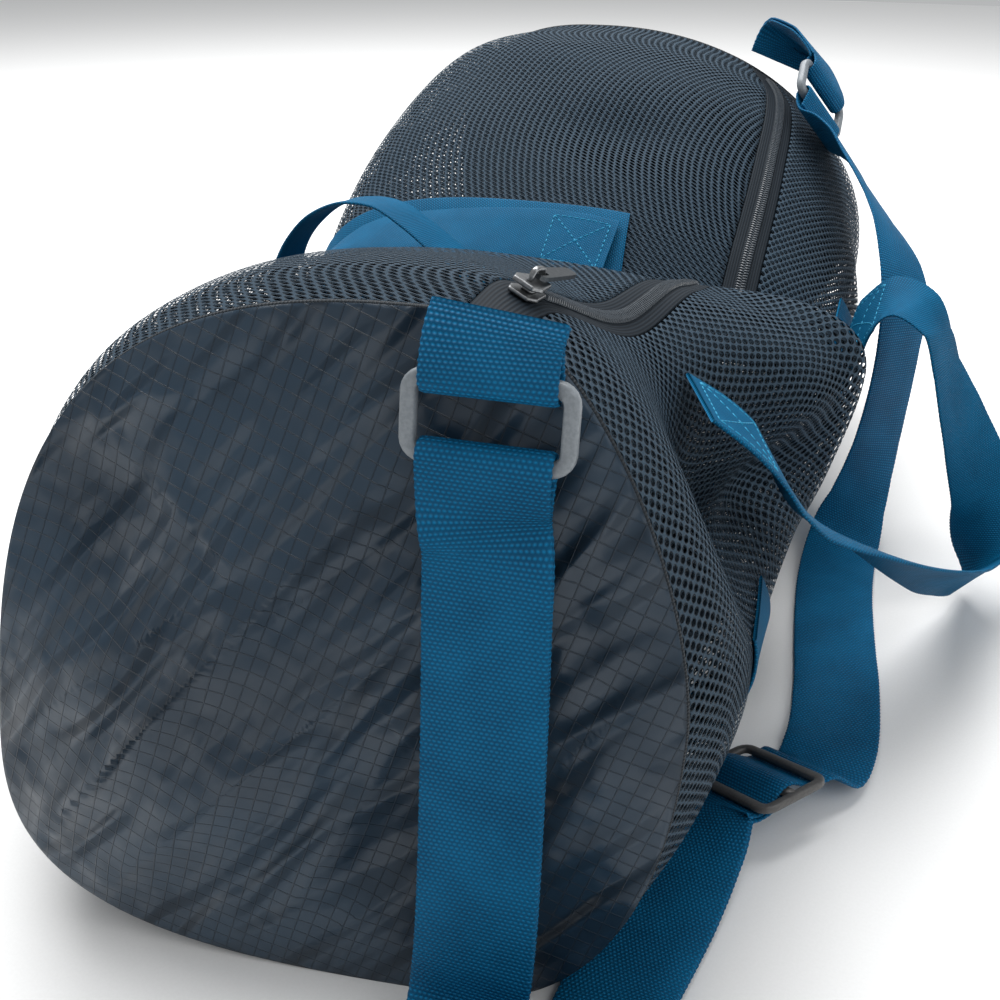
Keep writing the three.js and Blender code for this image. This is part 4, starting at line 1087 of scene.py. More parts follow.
@dataclass
class FinishShop:
    """Builds each finish's material once. Scales are waves per metre, depths metres."""

    made: dict[Finish, bpy.types.Material] = field(default_factory=dict)
    line_colour: tuple[float, float, float] = (0.014, 0.023, 0.034)
    line_share: float = 0.4
    line_height: float = 0.05
    grid_turn: float = 0.30
    crumple_turn: float = 0.85
    crumple_scale: tuple[float, float, float] = (1.3, 0.30, 1.0)
    crumple_depth: float = 0.013
    ridge_width: float = 0.11
    ridge_height: float = 0.40
    weave_stretch: tuple[float, float, float] = (1.0, 1.5, 1.0)
    hole_share: float = 0.44
    yarn_wobble: float = 0.0009
    yarn_depth: float = 0.0006
    fibre_pitch: float = 0.0006
    fibre_slant: float = 0.55
    grain_scale: float = 900.0
    grain_depth: float = 0.0001

    def __post_init__(self) -> None:
        """Build the shared groups and every finish."""
        self.lattice = lattice_group()
        self.ribs = ribs_group()
        self.grid = grid_group()
        patterns = {
            Finish.MESH: self.knit, Finish.BASE: self.crumpled, Finish.RIPSTOP: self.crumpled,
            Finish.WEB_COARSE: self.woven, Finish.WEB_FINE: self.woven, Finish.THREAD: self.woven,
            Finish.TAPE: self.ribbed, Finish.BINDING: self.ribbed,
        }
        for finish in FINISHES:
            coat, self.made[finish.kind] = self.start(finish)
            patterns.get(finish.kind, self.grained)(coat)

    def start(self, finish: ClothFinish) -> tuple[Coat, bpy.types.Material]:
        """Make a material with the finish's constants on its shader.

        Args:
            finish: Its colours and sizes.

        Returns:
            The coat to draw a pattern on, and the material.
        """
        material = bpy.data.materials.new(finish.kind.value)
        material.use_nodes = True
        shader = material.node_tree.nodes["Principled BSDF"]
        shader.inputs["Base Color"].default_value = (*finish.colour, 1.0)
        shader.inputs["Roughness"].default_value = finish.roughness
        shader.inputs["Metallic"].default_value = finish.metallic
        shader.inputs["Specular IOR Level"].default_value = finish.specular
        return Coat(material.node_tree, shader, finish), material

    def woven(self, coat: Coat) -> None:
        """Webbing: rows of raised threads, on a lattice stretched along the band.

        Args:
            coat: The material.
        """
        uv, row = coat.surface(), coat.finish.row
        stretched = coat.vector("MULTIPLY", uv, self.weave_stretch)
        distance = coat.group(self.lattice, Vector=stretched, Pitch=coat.finish.pitch, Row=row)
        # Painted light and shade: the colour goes light on each raised dome's top and dark in the
        # gaps between threads
        dome = coat.between(distance, 0.0, row * 0.48, 1.0, 0.0)
        shade = coat.math("MULTIPLY", coat.noise(uv, 45.0), 0.5)
        # Base colour share: the domes' painted light and shade plus a random tone
        share = coat.math("ADD", coat.math("MULTIPLY", dome, 0.75), shade)
        coat.feed(coat.shader, "Base Color", coat.blend(share))
        coat.bump(dome, row * 0.2)

    def crumpled(self, coat: Coat) -> None:
        """Thin cloth with a grid of stout threads, small dents and long slanting ridges.

        Args:
            coat: The material.
        """
        uv, rough = coat.surface(), coat.finish.roughness
        mask = coat.group(self.grid, Vector=coat.turned(uv, self.grid_turn),
                          Pitch=coat.finish.pitch, Width=coat.finish.row)
        shade = coat.between(coat.noise(uv, 14.0), 0.35, 0.65)
        body = coat.blend(coat.math("MULTIPLY", shade, 0.35))
        lines = coat.math("MULTIPLY", mask, self.line_share)
        coat.feed(coat.shader, "Base Color", coat.mix(lines, body, (*self.line_colour, 1.0)))
        long_way = coat.turned(uv, self.crumple_turn, self.crumple_scale, "TEXTURE")
        waves = coat.math("SUBTRACT", coat.noise(long_way, 8.0, 2.0), 0.5)
        ridge = coat.between(coat.math("ABSOLUTE", waves), 0.0, self.ridge_width, 1.0, 0.0)
        crumple = coat.math("ADD", coat.noise(uv, 17.0),
                            coat.math("MULTIPLY", ridge, self.ridge_height))
        threads = coat.math("MULTIPLY", mask, self.line_height)
        coat.bump(coat.math("ADD", crumple, threads), self.crumple_depth)
        coat.feed(coat.shader, "Roughness",
                  coat.between(coat.noise(uv, 30.0), 0.3, 0.7, rough - 0.08, rough + 0.1))

    def ribbed(self, coat: Coat) -> None:
        """Tape with threads along it.

        Args:
            coat: The material.
        """
        pitch = coat.finish.pitch
        height = coat.group(self.ribs, Vector=coat.surface(), Pitch=pitch)
        # Painted light and shade: each thread's top is mixed towards the light colour and the
        # grooves between towards the dark one
        coat.feed(coat.shader, "Base Color", coat.blend(height))
        coat.bump(height, pitch * 0.4)

    def grained(self, coat: Coat) -> None:
        """Plastic or metal with a fine grain, on Object coordinates.

        Args:
            coat: The material.
        """
        place = coat.add("ShaderNodeTexCoord").outputs["Object"]
        grain = coat.noise(place, self.grain_scale, 2.0)
        coat.feed(coat.shader, "Base Color", coat.blend(coat.between(grain, 0.3, 0.7)))
        coat.bump(grain, self.grain_depth)

    def knit(self, coat: Coat) -> None:
        """Knitted mesh: round holes on a staggered lattice with raised strands.

        Args:
            coat: The material.
        """
        uv, row = coat.surface(), coat.finish.row
        wobble = coat.vector("SUBTRACT", coat.noise(uv, 160.0, 1.0, "Color"), (0.5, 0.5, 0.5))
        shifted = coat.vector("ADD", uv, coat.vector("MULTIPLY", wobble, (self.yarn_wobble,) * 3))
        distance = coat.group(self.lattice, Vector=shifted, Pitch=coat.finish.pitch, Row=row)
        radius = row * self.hole_share
        coat.feed(coat.shader, "Alpha", coat.between(distance, radius * 0.94, radius * 1.04))
        # Painted shade: the strands darken towards each hole's rim, where they curve down into it
        strand_height_and_rim_shade = coat.between(distance, radius, radius * 1.45)
        fibre = coat.group(self.ribs, Vector=uv, Pitch=self.fibre_pitch, Slant=self.fibre_slant)
        # Painted light and shade on the fibres' ribs: lighter on each rib, darker between
        lit = coat.math("ADD", 0.45, coat.math("MULTIPLY", fibre, 0.4))
        coat.feed(coat.shader, "Base Color", coat.blend(coat.math("MULTIPLY", strand_height_and_rim_shade, lit)))
        coat.bump(coat.math("ADD", strand_height_and_rim_shade, coat.math("MULTIPLY", fibre, 0.25)), self.yarn_depth)


@dataclass
class BodyCloth:
    """The two knitted side panels, the base cloth, the end cloths and the bindings."""

    surface: BagSurface
    shop: FinishShop
    stations: int = 221
    mesh_steps: int = 76
    base_steps: int = 110
    rim_steps: int = 288
    rings: int = 90
    mesh_wall: float = MESH_WALL
    base_wall: float = BASE_WALL
    panel_wall: float = PANEL_WALL
    panel_gap: float = PANEL_GAP
    seam_gap: float = SEAM_GAP
    tape_width: float = TAPE_WIDTH
    piping: float = 1.1
    cord_points: int = 8
    fold_fade: float = 0.8
    fold_spread: float = 4
    fold_round: float = 0.0002

    def build(self) -> None:
        """Build every cloth of the body."""
        at = np.linspace(0, 1, self.stations)
        around = self.surface.outline_length(at)
        tape = self.tape_width / 2 / around
        gap = self.seam_gap / around
        right = self.surface.column("seamRight", at)
        left = 1 - self.surface.column("seamLeft", at)
        for name, node, low, high, steps, thickness, finish, slot in (
                ("mesh_side_right", "mesh_panel_right", tape, right, self.mesh_steps,
                 self.mesh_wall, Finish.MESH, "mesh"),
                ("mesh_side_left", "mesh_panel_left", left, 1 - tape, self.mesh_steps,
                 self.mesh_wall, Finish.MESH, "mesh"),
                ("base_cloth", "base_panel", right + gap, left - gap, self.base_steps,
                 self.base_wall, Finish.BASE, "base_cloth")):
            self.patch(name, node, at, low, high, steps, thickness, finish, slot)
        for end, station, direction, creases, fine in (
                ("near", 0.0, -1.0, NEAR_CREASES, NEAR_FINE_CREASES),
                ("far", 1.0, 1.0, FAR_CREASES, FAR_FINE_CREASES)):
            self.end_cloth(f"end_cloth_{end}", f"end_panel_{end}", station, direction, creases,
                           fine)
        self.seam_cord("seam_cord_right", at, right + gap / 2)
        self.seam_cord("seam_cord_left", at, left - gap / 2)
        self.rim_cord("rim_cord_near", 0.0, -1.0)
        self.rim_cord("rim_cord_far", 1.0, 1.0)

    def patch(self, name: str, node: str, at: np.ndarray, low: np.ndarray, high: np.ndarray,
              steps: int, thickness: float, finish: Finish, slot: str) -> None:
        """A panel of the body: turns run evenly from low to high at each station.

        Args:
            name: Name of the piece.
            node: CAD node that it replaces.
            at: Stations.
            low: Lowest turn at each station.
            high: Highest turn at each station.
            steps: Steps around.
            thickness: Wall in millimetres.
            finish: Finish.
            slot: Name of a material slot, kept on the piece but not used.
        """
        share = np.linspace(0, 1, steps + 1)[None, :]
        turn = low[:, None] + (high - low)[:, None] * share
        points = self.surface.body(at, turn)
        u = turn * self.surface.outline_length(at)[:, None]
        v = np.repeat(at[:, None] * self.surface.length, steps + 1, axis=1)
        uv = np.stack([u, v], axis=-1).reshape(-1, 2) * MM
        faces = grid_faces(len(at), steps + 1)
        item = Piece(name, nodes=(node,), slot=slot).build(
            points.reshape(-1, 3), faces, uv, self.shop.made[finish])
        wall(item, thickness)

    def crease_depth(self, creases: np.ndarray, x: np.ndarray, z: np.ndarray) -> np.ndarray:
        """Sum of straight ridges: a bell across each and a half sine along it.

        Args:
            creases: Rows of from x, from z, to x, to z, out and reach.
            x: Shares of the half width.
            z: Shares of the half height.

        Returns:
            Depth in millimetres.
        """
        depth = np.zeros_like(x)
        for from_x, from_z, to_x, to_z, out, reach in creases:
            run_x, run_z = to_x - from_x, to_z - from_z
            share = ((x - from_x) * run_x + (z - from_z) * run_z) / (run_x ** 2 + run_z ** 2)
            near = np.clip(share, 0, 1)
            gap = np.hypot(x - from_x - near * run_x, z - from_z - near * run_z)
            depth += (out * self.surface.height * np.exp(-(gap / (reach * CREASE_SPREAD)) ** 2)
                      * np.sin(math.pi * (CREASE_START + CREASE_RUN * near)))
        return depth

    def fine_depth(self, creases: np.ndarray, x: np.ndarray, z: np.ndarray) -> np.ndarray:
        """Sum of sharp folds, steep on one side of their line and long on the other.

        Each fold's height is exp(-gap / reach) on its left and exp(-gap / (4 reach))
        on its right, and fades to nothing at both ends as a sine.

        Args:
            creases: Rows of from x, from z, to x, to z, out and reach.
            x: Shares of the half width.
            z: Shares of the half height.

        Returns:
            Depth in millimetres.
        """
        depth = np.zeros_like(x)
        for from_x, from_z, to_x, to_z, out, reach in creases:
            run_x, run_z = to_x - from_x, to_z - from_z
            length = math.hypot(run_x, run_z)
            near = ((x - from_x) * run_x + (z - from_z) * run_z) / length ** 2
            gap = ((x - from_x) * run_z - (z - from_z) * run_x) / length
            fade = np.sin(math.pi * np.clip(near, 0, 1)) ** self.fold_fade
            slope = np.where(gap > 0, reach, reach * self.fold_spread)
            depth += out * fade * np.exp(-np.sqrt(gap ** 2 + self.fold_round) / slope)
        return depth

    def end_cloth(self, name: str, node: str, at: float, direction: float, creases: np.ndarray,
                  fine: np.ndarray) -> None:
        """A round end: the rim's points drawn to its middle, domed and creased.

        The push along y is (dome + creases) * (1 - share^4) + gap + wall.

        Args:
            name: Name of the piece.
            node: CAD node that it replaces.
            at: Station of the rim.
            direction: Way out along y, 1 or -1.
            creases: Wide ridges that the solid has too.
            fine: Sharp folds of the cloth alone.
        """
        turn = np.arange(self.rim_steps)[None, :] / self.rim_steps
        rim = self.surface.body(np.array([at]), turn)[0]
        coarse = np.arange(COARSE_RIM)[None, :] / COARSE_RIM
        middle = self.surface.body(np.array([at]), coarse)[0].mean(axis=0)
        share = np.linspace(0, 1, self.rings + 1)[1:, None, None]
        drawn = middle + (rim[None] - middle) * share
        points = np.concatenate([middle[None], drawn.reshape(-1, 3)])
        shares = np.concatenate([[0], np.repeat(share[:, 0, 0], self.rim_steps)])
        left = float(self.surface.column("left", np.array([at]))[0]) * self.surface.width
        uv = points[:, [0, 2]] * MM
        x = (points[:, 0] - middle[0]) / left
        z = (points[:, 2] - middle[2]) / (0.5 * self.surface.height)
        edge = 1 - shares ** 4
        out = (PANEL_DOME * self.surface.height + self.crease_depth(creases, x, z)) * edge
        out += self.fine_depth(fine, x, z) * np.clip(edge * 1.6, 0, 1)
        points[:, 1] += direction * (out + self.panel_gap + self.panel_wall)
        j = np.arange(self.rim_steps)
        nxt = (j + 1) % self.rim_steps
        ring = grid_faces(self.rings, self.rim_steps, closed=True) + 1
        fan = np.stack([np.zeros_like(j), 1 + nxt, 1 + j], axis=1)
        faces = ring.tolist() + fan.tolist()
        if direction > 0:
            faces = [face[::-1] for face in faces]
        item = Piece(name, nodes=(node,), slot="panel_cloth").build(
            points, FaceList(faces), uv, self.shop.made[Finish.RIPSTOP])
        wall(item, self.panel_wall)

    def tube(self, name: str, path: np.ndarray, radius: float, closed: bool) -> None:
        """A round cord along a path: eight points about each of the path's points.

        Args:
            name: Name of the piece.
            path: Points in millimetres.
            radius: Radius in millimetres.
            closed: Whether the path joins its own start.
        """
        count, corners = len(path), self.cord_points
        tangent = path_direction(path, closed)
        side = unit(np.cross(tangent, np.array([0.3, 0.2, 1.0])))
        up = np.cross(side, tangent)
        angle = np.arange(corners) * 2 * math.pi / corners
        grid = (path[:, None] + side[:, None] * (np.cos(angle) * radius)[None, :, None]
                + up[:, None] * (np.sin(angle) * radius)[None, :, None])
        grid[..., 2] = np.maximum(grid[..., 2], 0)
        faces = grid_faces(count + 1 if closed else count, corners, closed=True)
        listed = (faces % (count * corners)).tolist()
        if not closed:
            listed += [list(range(corners))[::-1],
                       list(range((count - 1) * corners, count * corners))]
        uv = np.stack([np.repeat(running_length(path)[:, None], corners, axis=1),
                       np.repeat(angle[None] * radius, count, axis=0)], axis=-1)
        Piece(name, slot="base_cloth").build(grid.reshape(-1, 3), FaceList(listed),
                                             uv.reshape(-1, 2) * MM, self.shop.made[Finish.BINDING])

    def seam_cord(self, name: str, at: np.ndarray, turn: np.ndarray) -> None:
        """Piping in the seam between a mesh panel and the base cloth, at its turns."""
        path = self.surface.lifted(at, turn[:, None], -self.piping * 0.4)[:, 0]
        self.tube(name, path, self.piping, closed=False)

    def rim_cord(self, name: str, at: float, direction: float) -> None:
        """Piping round a rim, between the body and the end cloth.

        Args:
            name: Name of the piece.
            at: Station of the rim.
            direction: Way out along y, 1 or -1.
        """
        turn = np.arange(self.rim_steps)[None, :] / self.rim_steps
        path = self.surface.lifted(np.array([at]), turn, -self.piping * 0.6)[0]
        path[:, 1] += direction * self.panel_gap * 0.6
        self.tube(name, path, self.piping, closed=True)


@dataclass
class ZipLine:
    """The zip: its tape, two rows of teeth, the slider with its bridge, and the pull."""

    surface: BagSurface
    shop: FinishShop
    stations: int = 221
    tape_width: float = TAPE_WIDTH
    tape_wall: float = TAPE_WALL
    mesh_wall: float = MESH_WALL
    seam_gap: float = SEAM_GAP
    coil_width: float = COIL_WIDTH
    coil_height: float = COIL_HEIGHT
    tooth_pitch: float = 1.7
    tooth_bar: float = 0.95
    first: float = COIL_FIRST
    last: float = COIL_LAST
    line_points: int = 1200
    tape_points: int = 15
    tooth_lift: float = 0.25
    body_rounding: float = 0.5
    pull_rounding: float = 0.25

    @property
    def tape_face(self) -> float:
        """Lift of the tape's outer face from the body's surface."""
        return -(self.mesh_wall - self.tape_wall) / 2

    def build(self) -> None:
        """Build the tape, the teeth, the slider and the pull."""
        self.tape()
        self.teeth()
        self.slider()

    def tape(self) -> None:
        """A strip between the mesh panels: turns run evenly across its reach."""
        at = np.linspace(0, 1, self.stations)
        around = self.surface.outline_length(at)
        reach = (self.tape_width / 2 - self.seam_gap) / around
        share = np.linspace(-1, 1, self.tape_points)[None, :]
        turn = reach[:, None] * share
        points = self.surface.lifted(at, turn, self.tape_face)
        u = turn * around[:, None]
        v = np.repeat(at[:, None] * self.surface.length, share.shape[1], axis=1)
        item = Piece("zip_tape_cloth", nodes=("zip_tape",), slot="zip_tape").build(
            points.reshape(-1, 3), grid_faces(len(at), share.shape[1]),
            np.stack([u, v], axis=-1).reshape(-1, 2) * MM, self.shop.made[Finish.TAPE])
        wall(item, self.tape_wall)

    def axes(self, at: np.ndarray, lift: float
             ) -> tuple[np.ndarray, np.ndarray, np.ndarray, np.ndarray]:
        """Places on the zip's line with their directions.

        Args:
            at: Stations.
            lift: Distance out of the surface.

        Returns:
            Place, across, ahead and up at each station.
        """
        zero = np.zeros((len(at), 1))
        body, lifted = self.surface.body, self.surface.lifted
        across = unit(body(at, zero + SIDE_STEP)[:, 0] - body(at, zero - SIDE_STEP)[:, 0])
        ahead = unit(lifted(np.minimum(at + AHEAD_STEP, 1), zero, lift)[:, 0]
                     - lifted(np.maximum(at - AHEAD_STEP, 0), zero, lift)[:, 0])
        up = unit(np.cross(across, ahead))
        return lifted(at, zero, lift)[:, 0], np.cross(ahead, up), ahead, up

    def teeth(self) -> None:
        """Two rows of bars that meet in the middle, each a profile along its width.

        A bar's height rises from its root as a quarter sine and its sides follow
        a rounded oblong, so that it looks like one turn of the coil.
        """
        lift = self.tape_face + self.tooth_lift
        dense = np.linspace(self.first, self.last, self.line_points)
        line = self.surface.lifted(dense, np.zeros((self.line_points, 1)), lift)[:, 0]
        run = running_length(line)
        marks = np.arange(self.tooth_pitch / 2, run[-1], self.tooth_pitch / 2)
        place, across, ahead, up = self.axes(np.interp(marks, run, dense), lift)
        side = np.where(np.arange(len(marks)) % 2 == 0, 1.0, -1.0)[:, None, None]
        reach = np.array([-0.12, 0.05, 0.45, 0.85, 1.0]) * self.coil_width / 2
        tall = np.array([0.55, 0.95, 1.0, 0.85, 0.25]) * self.coil_height
        lean = np.array([0.0, 0.0, 0.1, 0.25, 0.35]) * self.tooth_pitch
        ahead_by = lean[:, None] + np.array([-0.5, -0.32, 0.32, 0.5]) * self.tooth_bar
        up_by = tall[:, None] * np.array([0.0, 1.0, 1.0, 0.0])
        sideways = (side * reach[None, :, None])[..., None]
        grid = (place[:, None, None] + across[:, None, None] * sideways
                + ahead[:, None, None] * ahead_by[None, :, :, None]
                + up[:, None, None] * up_by[None, :, :, None])
        block = np.concatenate([grid_faces(5, 4, closed=True), [[0, 1, 2, 3], [19, 18, 17, 16]]])
        faces = np.arange(len(marks))[:, None, None] * 20 + block[None]
        flip = side[:, 0, 0] > 0
        faces[flip] = faces[flip][..., ::-1]
        Piece("zip_teeth", nodes=("zip_coil",), slot="zip_coil").build(
            grid.reshape(-1, 3), faces.reshape(-1, 4), None, self.shop.made[Finish.TEETH],
            smooth=False)

    def slider(self) -> None:
        """The slider's two plates and post, its bridge and the pull on the hinge."""
        at = self.first - (SLIDER_LENGTH / 2 + 2 * self.seam_gap) / self.surface.length
        spot = self.axes(np.array([at]), self.tape_face + SLIDER_HEIGHT / 2)[0][0]
        ends = self.surface.lifted(np.array([at + SIDE_STEP, at - SIDE_STEP]), np.zeros((2, 1)), 0)
        ahead = unit(ends[0, 0] - ends[1, 0])
        sides = self.surface.body(np.array([at]), np.array([[SIDE_STEP, -SIDE_STEP]]))[0]
        up = unit(np.cross(unit(sides[0] - sides[1]), ahead))
        across = np.cross(ahead, up)
        frame_axes = np.stack([across, ahead, up])
        outline = np.array([[-1.0, -0.4], [-0.7, -1.0], [0.7, -1.0], [1.0, -0.4], [0.6, 1.0],
                            [-0.6, 1.0]]) * np.array([SLIDER_WIDTH / 2, SLIDER_LENGTH / 2])
        points, faces = [], []
        for low, high, scale in ((-0.5, -0.22, 1.0), (-0.22, 0.16, 0.45), (0.16, 0.5, 1.0)):
            part, skin = prism(outline * scale, low * SLIDER_HEIGHT, high * SLIDER_HEIGHT)
            faces += [[k + len(part) * len(points) for k in face] for face in skin]
            points.append(part)
        body = np.concatenate(points) @ frame_axes + spot
        item = Piece("zip_slider_body", nodes=("zip_slider",), slot="slider_metal").build(
            body, FaceList(faces), None, self.shop.made[Finish.METAL], smooth=False)
        rounded(item, self.body_rounding, 3)
        top = spot + up * SLIDER_HEIGHT / 2
        self.bridge(top + up * 0.1, frame_axes)
        self.pull(top + up * PIVOT_LIFT, frame_axes)

    def bridge(self, foot: np.ndarray, axes: np.ndarray) -> None:
        """An arch over the slider: a rounded bar along half an oblong.

        Args:
            foot: Middle of the arch's foot.
            axes: Across, ahead and up.
        """
        angle = np.linspace(math.pi, 0, 25)
        half = (BRIDGE_LENGTH - BRIDGE_BAR) / 2
        tall = BRIDGE_HEIGHT - BRIDGE_BAR / 2
        run = np.sign(np.cos(angle)) * half * np.abs(np.cos(angle)) ** ARCH_POWER
        rise = tall * np.sin(angle) ** ARCH_POWER
        path = np.stack([np.zeros_like(run), run, rise], axis=1) @ axes + foot
        sides = np.repeat(axes[:1], len(path), axis=0)
        points, faces = swept_bar(path, sides, BRIDGE_WIDTH, BRIDGE_BAR, False)
        Piece("slider_bridge_arch", nodes=("slider_bridge",), slot="slider_metal").build(
            points, FaceList(faces), None, self.shop.made[Finish.METAL])

    def pull(self, pivot: np.ndarray, axes: np.ndarray) -> None:
        """The pull: a flat bar with an eye, its outline joined to its hole's.

        The half width runs from full at the eye to a narrow rounded tip.

        Args:
            pivot: Middle of the eye's end bar.
            axes: Across, ahead and up.
        """
        half = PULL_WIDTH / 2
        start, end = -EYE_BAR / 2, -EYE_BAR / 2 + PULL_LENGTH
        outer = oblong((-half, start), (half, end), half * 0.7, PULL_POINTS)
        taper = 1 - 0.22 * np.clip((outer[:, 1] - end * 0.3) / (end * 0.7), 0, 1)
        outer[:, 0] *= taper
        hole_low = start + EYE_BAR
        inner = oblong((-EYE_WIDTH / 2, hole_low), (EYE_WIDTH / 2, hole_low + EYE_LENGTH),
                       EYE_ROUNDING, PULL_POINTS)
        points, faces = holed_plate(outer, inner, PULL_WALL)
        item = Piece("zip_pull_tab", body="pull", nodes=("zip_pull",), slot="pull_metal").build(
            points @ axes + pivot, faces, None, self.shop.made[Finish.PULL], smooth=False)
        rounded(item, self.pull_rounding, 2)


class FaceList(list):
    """Faces of mixed sizes, which Piece.build takes as it takes an array."""

    def tolist(self) -> list[list[int]]:
        """The faces as plain lists."""
        return list(self)


def prism(outline: np.ndarray, low: float, high: float) -> tuple[np.ndarray, list[list[int]]]:
    """A flat outline carried from one height to another.

    Args:
        outline: Corners, clockwise seen from below.
        low: Lower height.
        high: Upper height.

    Returns:
        Points and faces.
    """
    count = len(outline)
    points = np.concatenate([np.column_stack([outline, np.full(count, z)]) for z in (low, high)])
    sides = [[k, (k + 1) % count, count + (k + 1) % count, count + k] for k in range(count)]
    caps = [list(range(count))[::-1], list(range(count, 2 * count))]
    return points, sides + caps


def rounded(item: bpy.types.Object, width: float, segments: int) -> None:
    """Round an object's sharp edges.

    Args:
        item: Object.
        width: Width of the rounding in millimetres.
        segments: Number of faces across it.
    """
    bevel = item.modifiers.new("rounded", "BEVEL")
    bevel.width = width * MM
    bevel.segments = segments
    bevel.limit_method = "ANGLE"
    bevel.angle_limit = math.radians(35)


def oblong(low: tuple[float, float], high: tuple[float, float], radius: float, count: int
           ) -> np.ndarray:
    """An oblong with round corners, at equal steps of its length from its lower middle.

    Args:
        low: Lower left corner.
        high: Upper right corner.
        radius: Radius of the corners.
        count: Number of points.

    Returns:
        The points, anticlockwise.
    """
    angle = np.linspace(0, math.pi / 2, 7)
    corners = []
    for k, (right, top) in enumerate(((True, False), (True, True), (False, True), (False, False))):
        turn = angle + (k - 1) * math.pi / 2
        x = high[0] - radius if right else low[0] + radius
        y = high[1] - radius if top else low[1] + radius
        corners.append(np.stack([x + radius * np.cos(turn), y + radius * np.sin(turn)], axis=1))
    first = np.array([[(low[0] + high[0]) / 2, low[1]]])
    path = np.concatenate([first, *corners, first])
    run = running_length(path)
    return read_along(np.linspace(0, run[-1], count, endpoint=False), run, path)


def holed_plate(outer: np.ndarray, inner: np.ndarray, thickness: float
                ) -> tuple[np.ndarray, np.ndarray]:
    """A flat plate between two like-numbered outlines.

    Args:
        outer: Outer outline, anticlockwise.
        inner: Outline of the hole, anticlockwise.
        thickness: Thickness.

    Returns:
        Points about the plate's middle and faces.
    """
    count = len(outer)
    loops = ((outer, 0.5), (outer, -0.5), (inner, -0.5), (inner, 0.5))
    points = np.concatenate([np.column_stack([loop, np.full(count, side * thickness)])
                             for loop, side in loops])
    j = np.arange(count)
    nxt = (j + 1) % count
    faces = [np.stack([a * count + j, b * count + j, b * count + nxt, a * count + nxt], axis=1)
             for a, b in ((0, 1), (1, 2), (2, 3), (3, 0))]
    return points, np.concatenate(faces)


def swept_bar(path: np.ndarray, side: np.ndarray, width: float, depth: float,
              closed: bool) -> tuple[np.ndarray, list[list[int]]]:
    """A bar of rounded section along a path.

    The section is a superellipse: cos and sin raised to BAR_POWER.

    Args:
        path: Points of the bar's middle.
        side: Direction of its width at each point.
        width: Size along side.
        depth: Size across it.
        closed: Whether the path joins its own start.

    Returns:
        Points and faces.
    """
    count = len(path)
    up = unit(np.cross(path_direction(path, closed), side))
    corners = BAR_CORNERS
    angle = np.arange(corners) * 2 * math.pi / corners
    a = np.sign(np.cos(angle)) * np.abs(np.cos(angle)) ** BAR_POWER * width / 2
    b = np.sign(np.sin(angle)) * np.abs(np.sin(angle)) ** BAR_POWER * depth / 2
    grid = path[:, None] + side[:, None] * a[None, :, None] + up[:, None] * b[None, :, None]
    faces = grid_faces(count + 1 if closed else count, corners, closed=True)
    listed = (faces % (count * corners))[:, ::-1].tolist()
    if not closed:
        listed += [list(range(corners)),
                   list(range((count - 1) * corners, count * corners))[::-1]]
    return grid.reshape(-1, 3), listed


@dataclass
class Hardware:
    """The two oblong rings and the three-bar slide."""

    shop: FinishShop
    length: float = WEB_WIDTH + 2
    depth: float = RING_DEPTH
    bar: float = RING_BAR
    slide_depth: float = SLIDE_DEPTH
    slide_bar: float = SLIDE_BAR
    slide_wall: float = SLIDE_WALL

    def build(self) -> None:
        """Build the rings and the slide."""
        for end, ring in (("near", NEAR_RING), ("far", FAR_RING)):
            points, faces = self.frame(ring.centre, ring.long, ring.down, self.depth, self.bar,
                                       self.bar)
            Piece(f"ring_{end}", nodes=(f"{end}_ring",), slot="ring_plastic").build(
                points, FaceList(faces), None, self.shop.made[Finish.RING])
        slide = SlideFrame()
        points, faces = self.frame(slide.place, slide.long, slide.ahead, self.slide_depth,
                                   self.slide_bar, self.slide_wall)
        half = self.length / 2 + self.slide_bar * 0.4
        ends = np.linspace(-half, half, 9)[:, None] * slide.long[None] + slide.place
        middle, sides = swept_bar(ends, np.repeat(slide.ahead[None], 9, axis=0),
                                  self.slide_bar, self.slide_wall, False)
        faces += [[k + len(points) for k in face] for face in sides]
        Piece("slide_three_bar", nodes=("tri_glide",), slot="slide_plastic").build(
            np.concatenate([points, middle]), FaceList(faces), None, self.shop.made[Finish.SLIDE])

    def frame(self, centre: np.ndarray, long: np.ndarray, short: np.ndarray, depth: float,
              bar: float, thickness: float) -> tuple[np.ndarray, list[list[int]]]:
        """A moulded frame: a rounded bar along an oblong about its opening.

        Args:
            centre: Middle of the frame.
            long: Direction of its bars.
            short: Direction across them.
            depth: Depth of the opening.
            bar: Width of the bars.
            thickness: Thickness of the frame.

        Returns:
            Points and faces.
        """
        half = np.array([self.length / 2 + bar / 2, depth / 2 + bar / 2])
        flat = oblong(tuple(-half), tuple(half), bar * 0.95, 96)
        turned = np.roll(flat, -1, axis=0) - np.roll(flat, 1, axis=0)
        side = unit(np.stack([turned[:, 1], -turned[:, 0]], axis=1))
        axes = np.stack([long, short])
        return swept_bar(flat @ axes + centre, side @ axes, bar, thickness, True)


@dataclass
class SlideFrame:
    """Where the three-bar slide lies and which way its strap runs."""

    place: np.ndarray = field(init=False)
    ahead: np.ndarray = field(init=False)
    long: np.ndarray = field(init=False)
    up: np.ndarray = field(init=False)
    pitch: float = SLIDE_DEPTH / 2 + SLIDE_BAR / 2

    def __post_init__(self) -> None:
        """Work out the directions."""
        self.place = np.array(SLIDE_PLACE) * BAG_BOX
        self.ahead = unit(np.array(SLIDE_AHEAD))
        raw = np.array(SLIDE_LONG)
        self.long = unit(raw - self.ahead * np.dot(raw, self.ahead))
        self.up = np.cross(self.long, self.ahead)

    def spot(self, ahead: float, up: float) -> np.ndarray:
        """A point told from the slide's middle bar."""
        return self.place + self.ahead * ahead + self.up * up


NEAR_RING = RingFrame(NEAR_RING_ROW)
FAR_RING = RingFrame(FAR_RING_ROW)


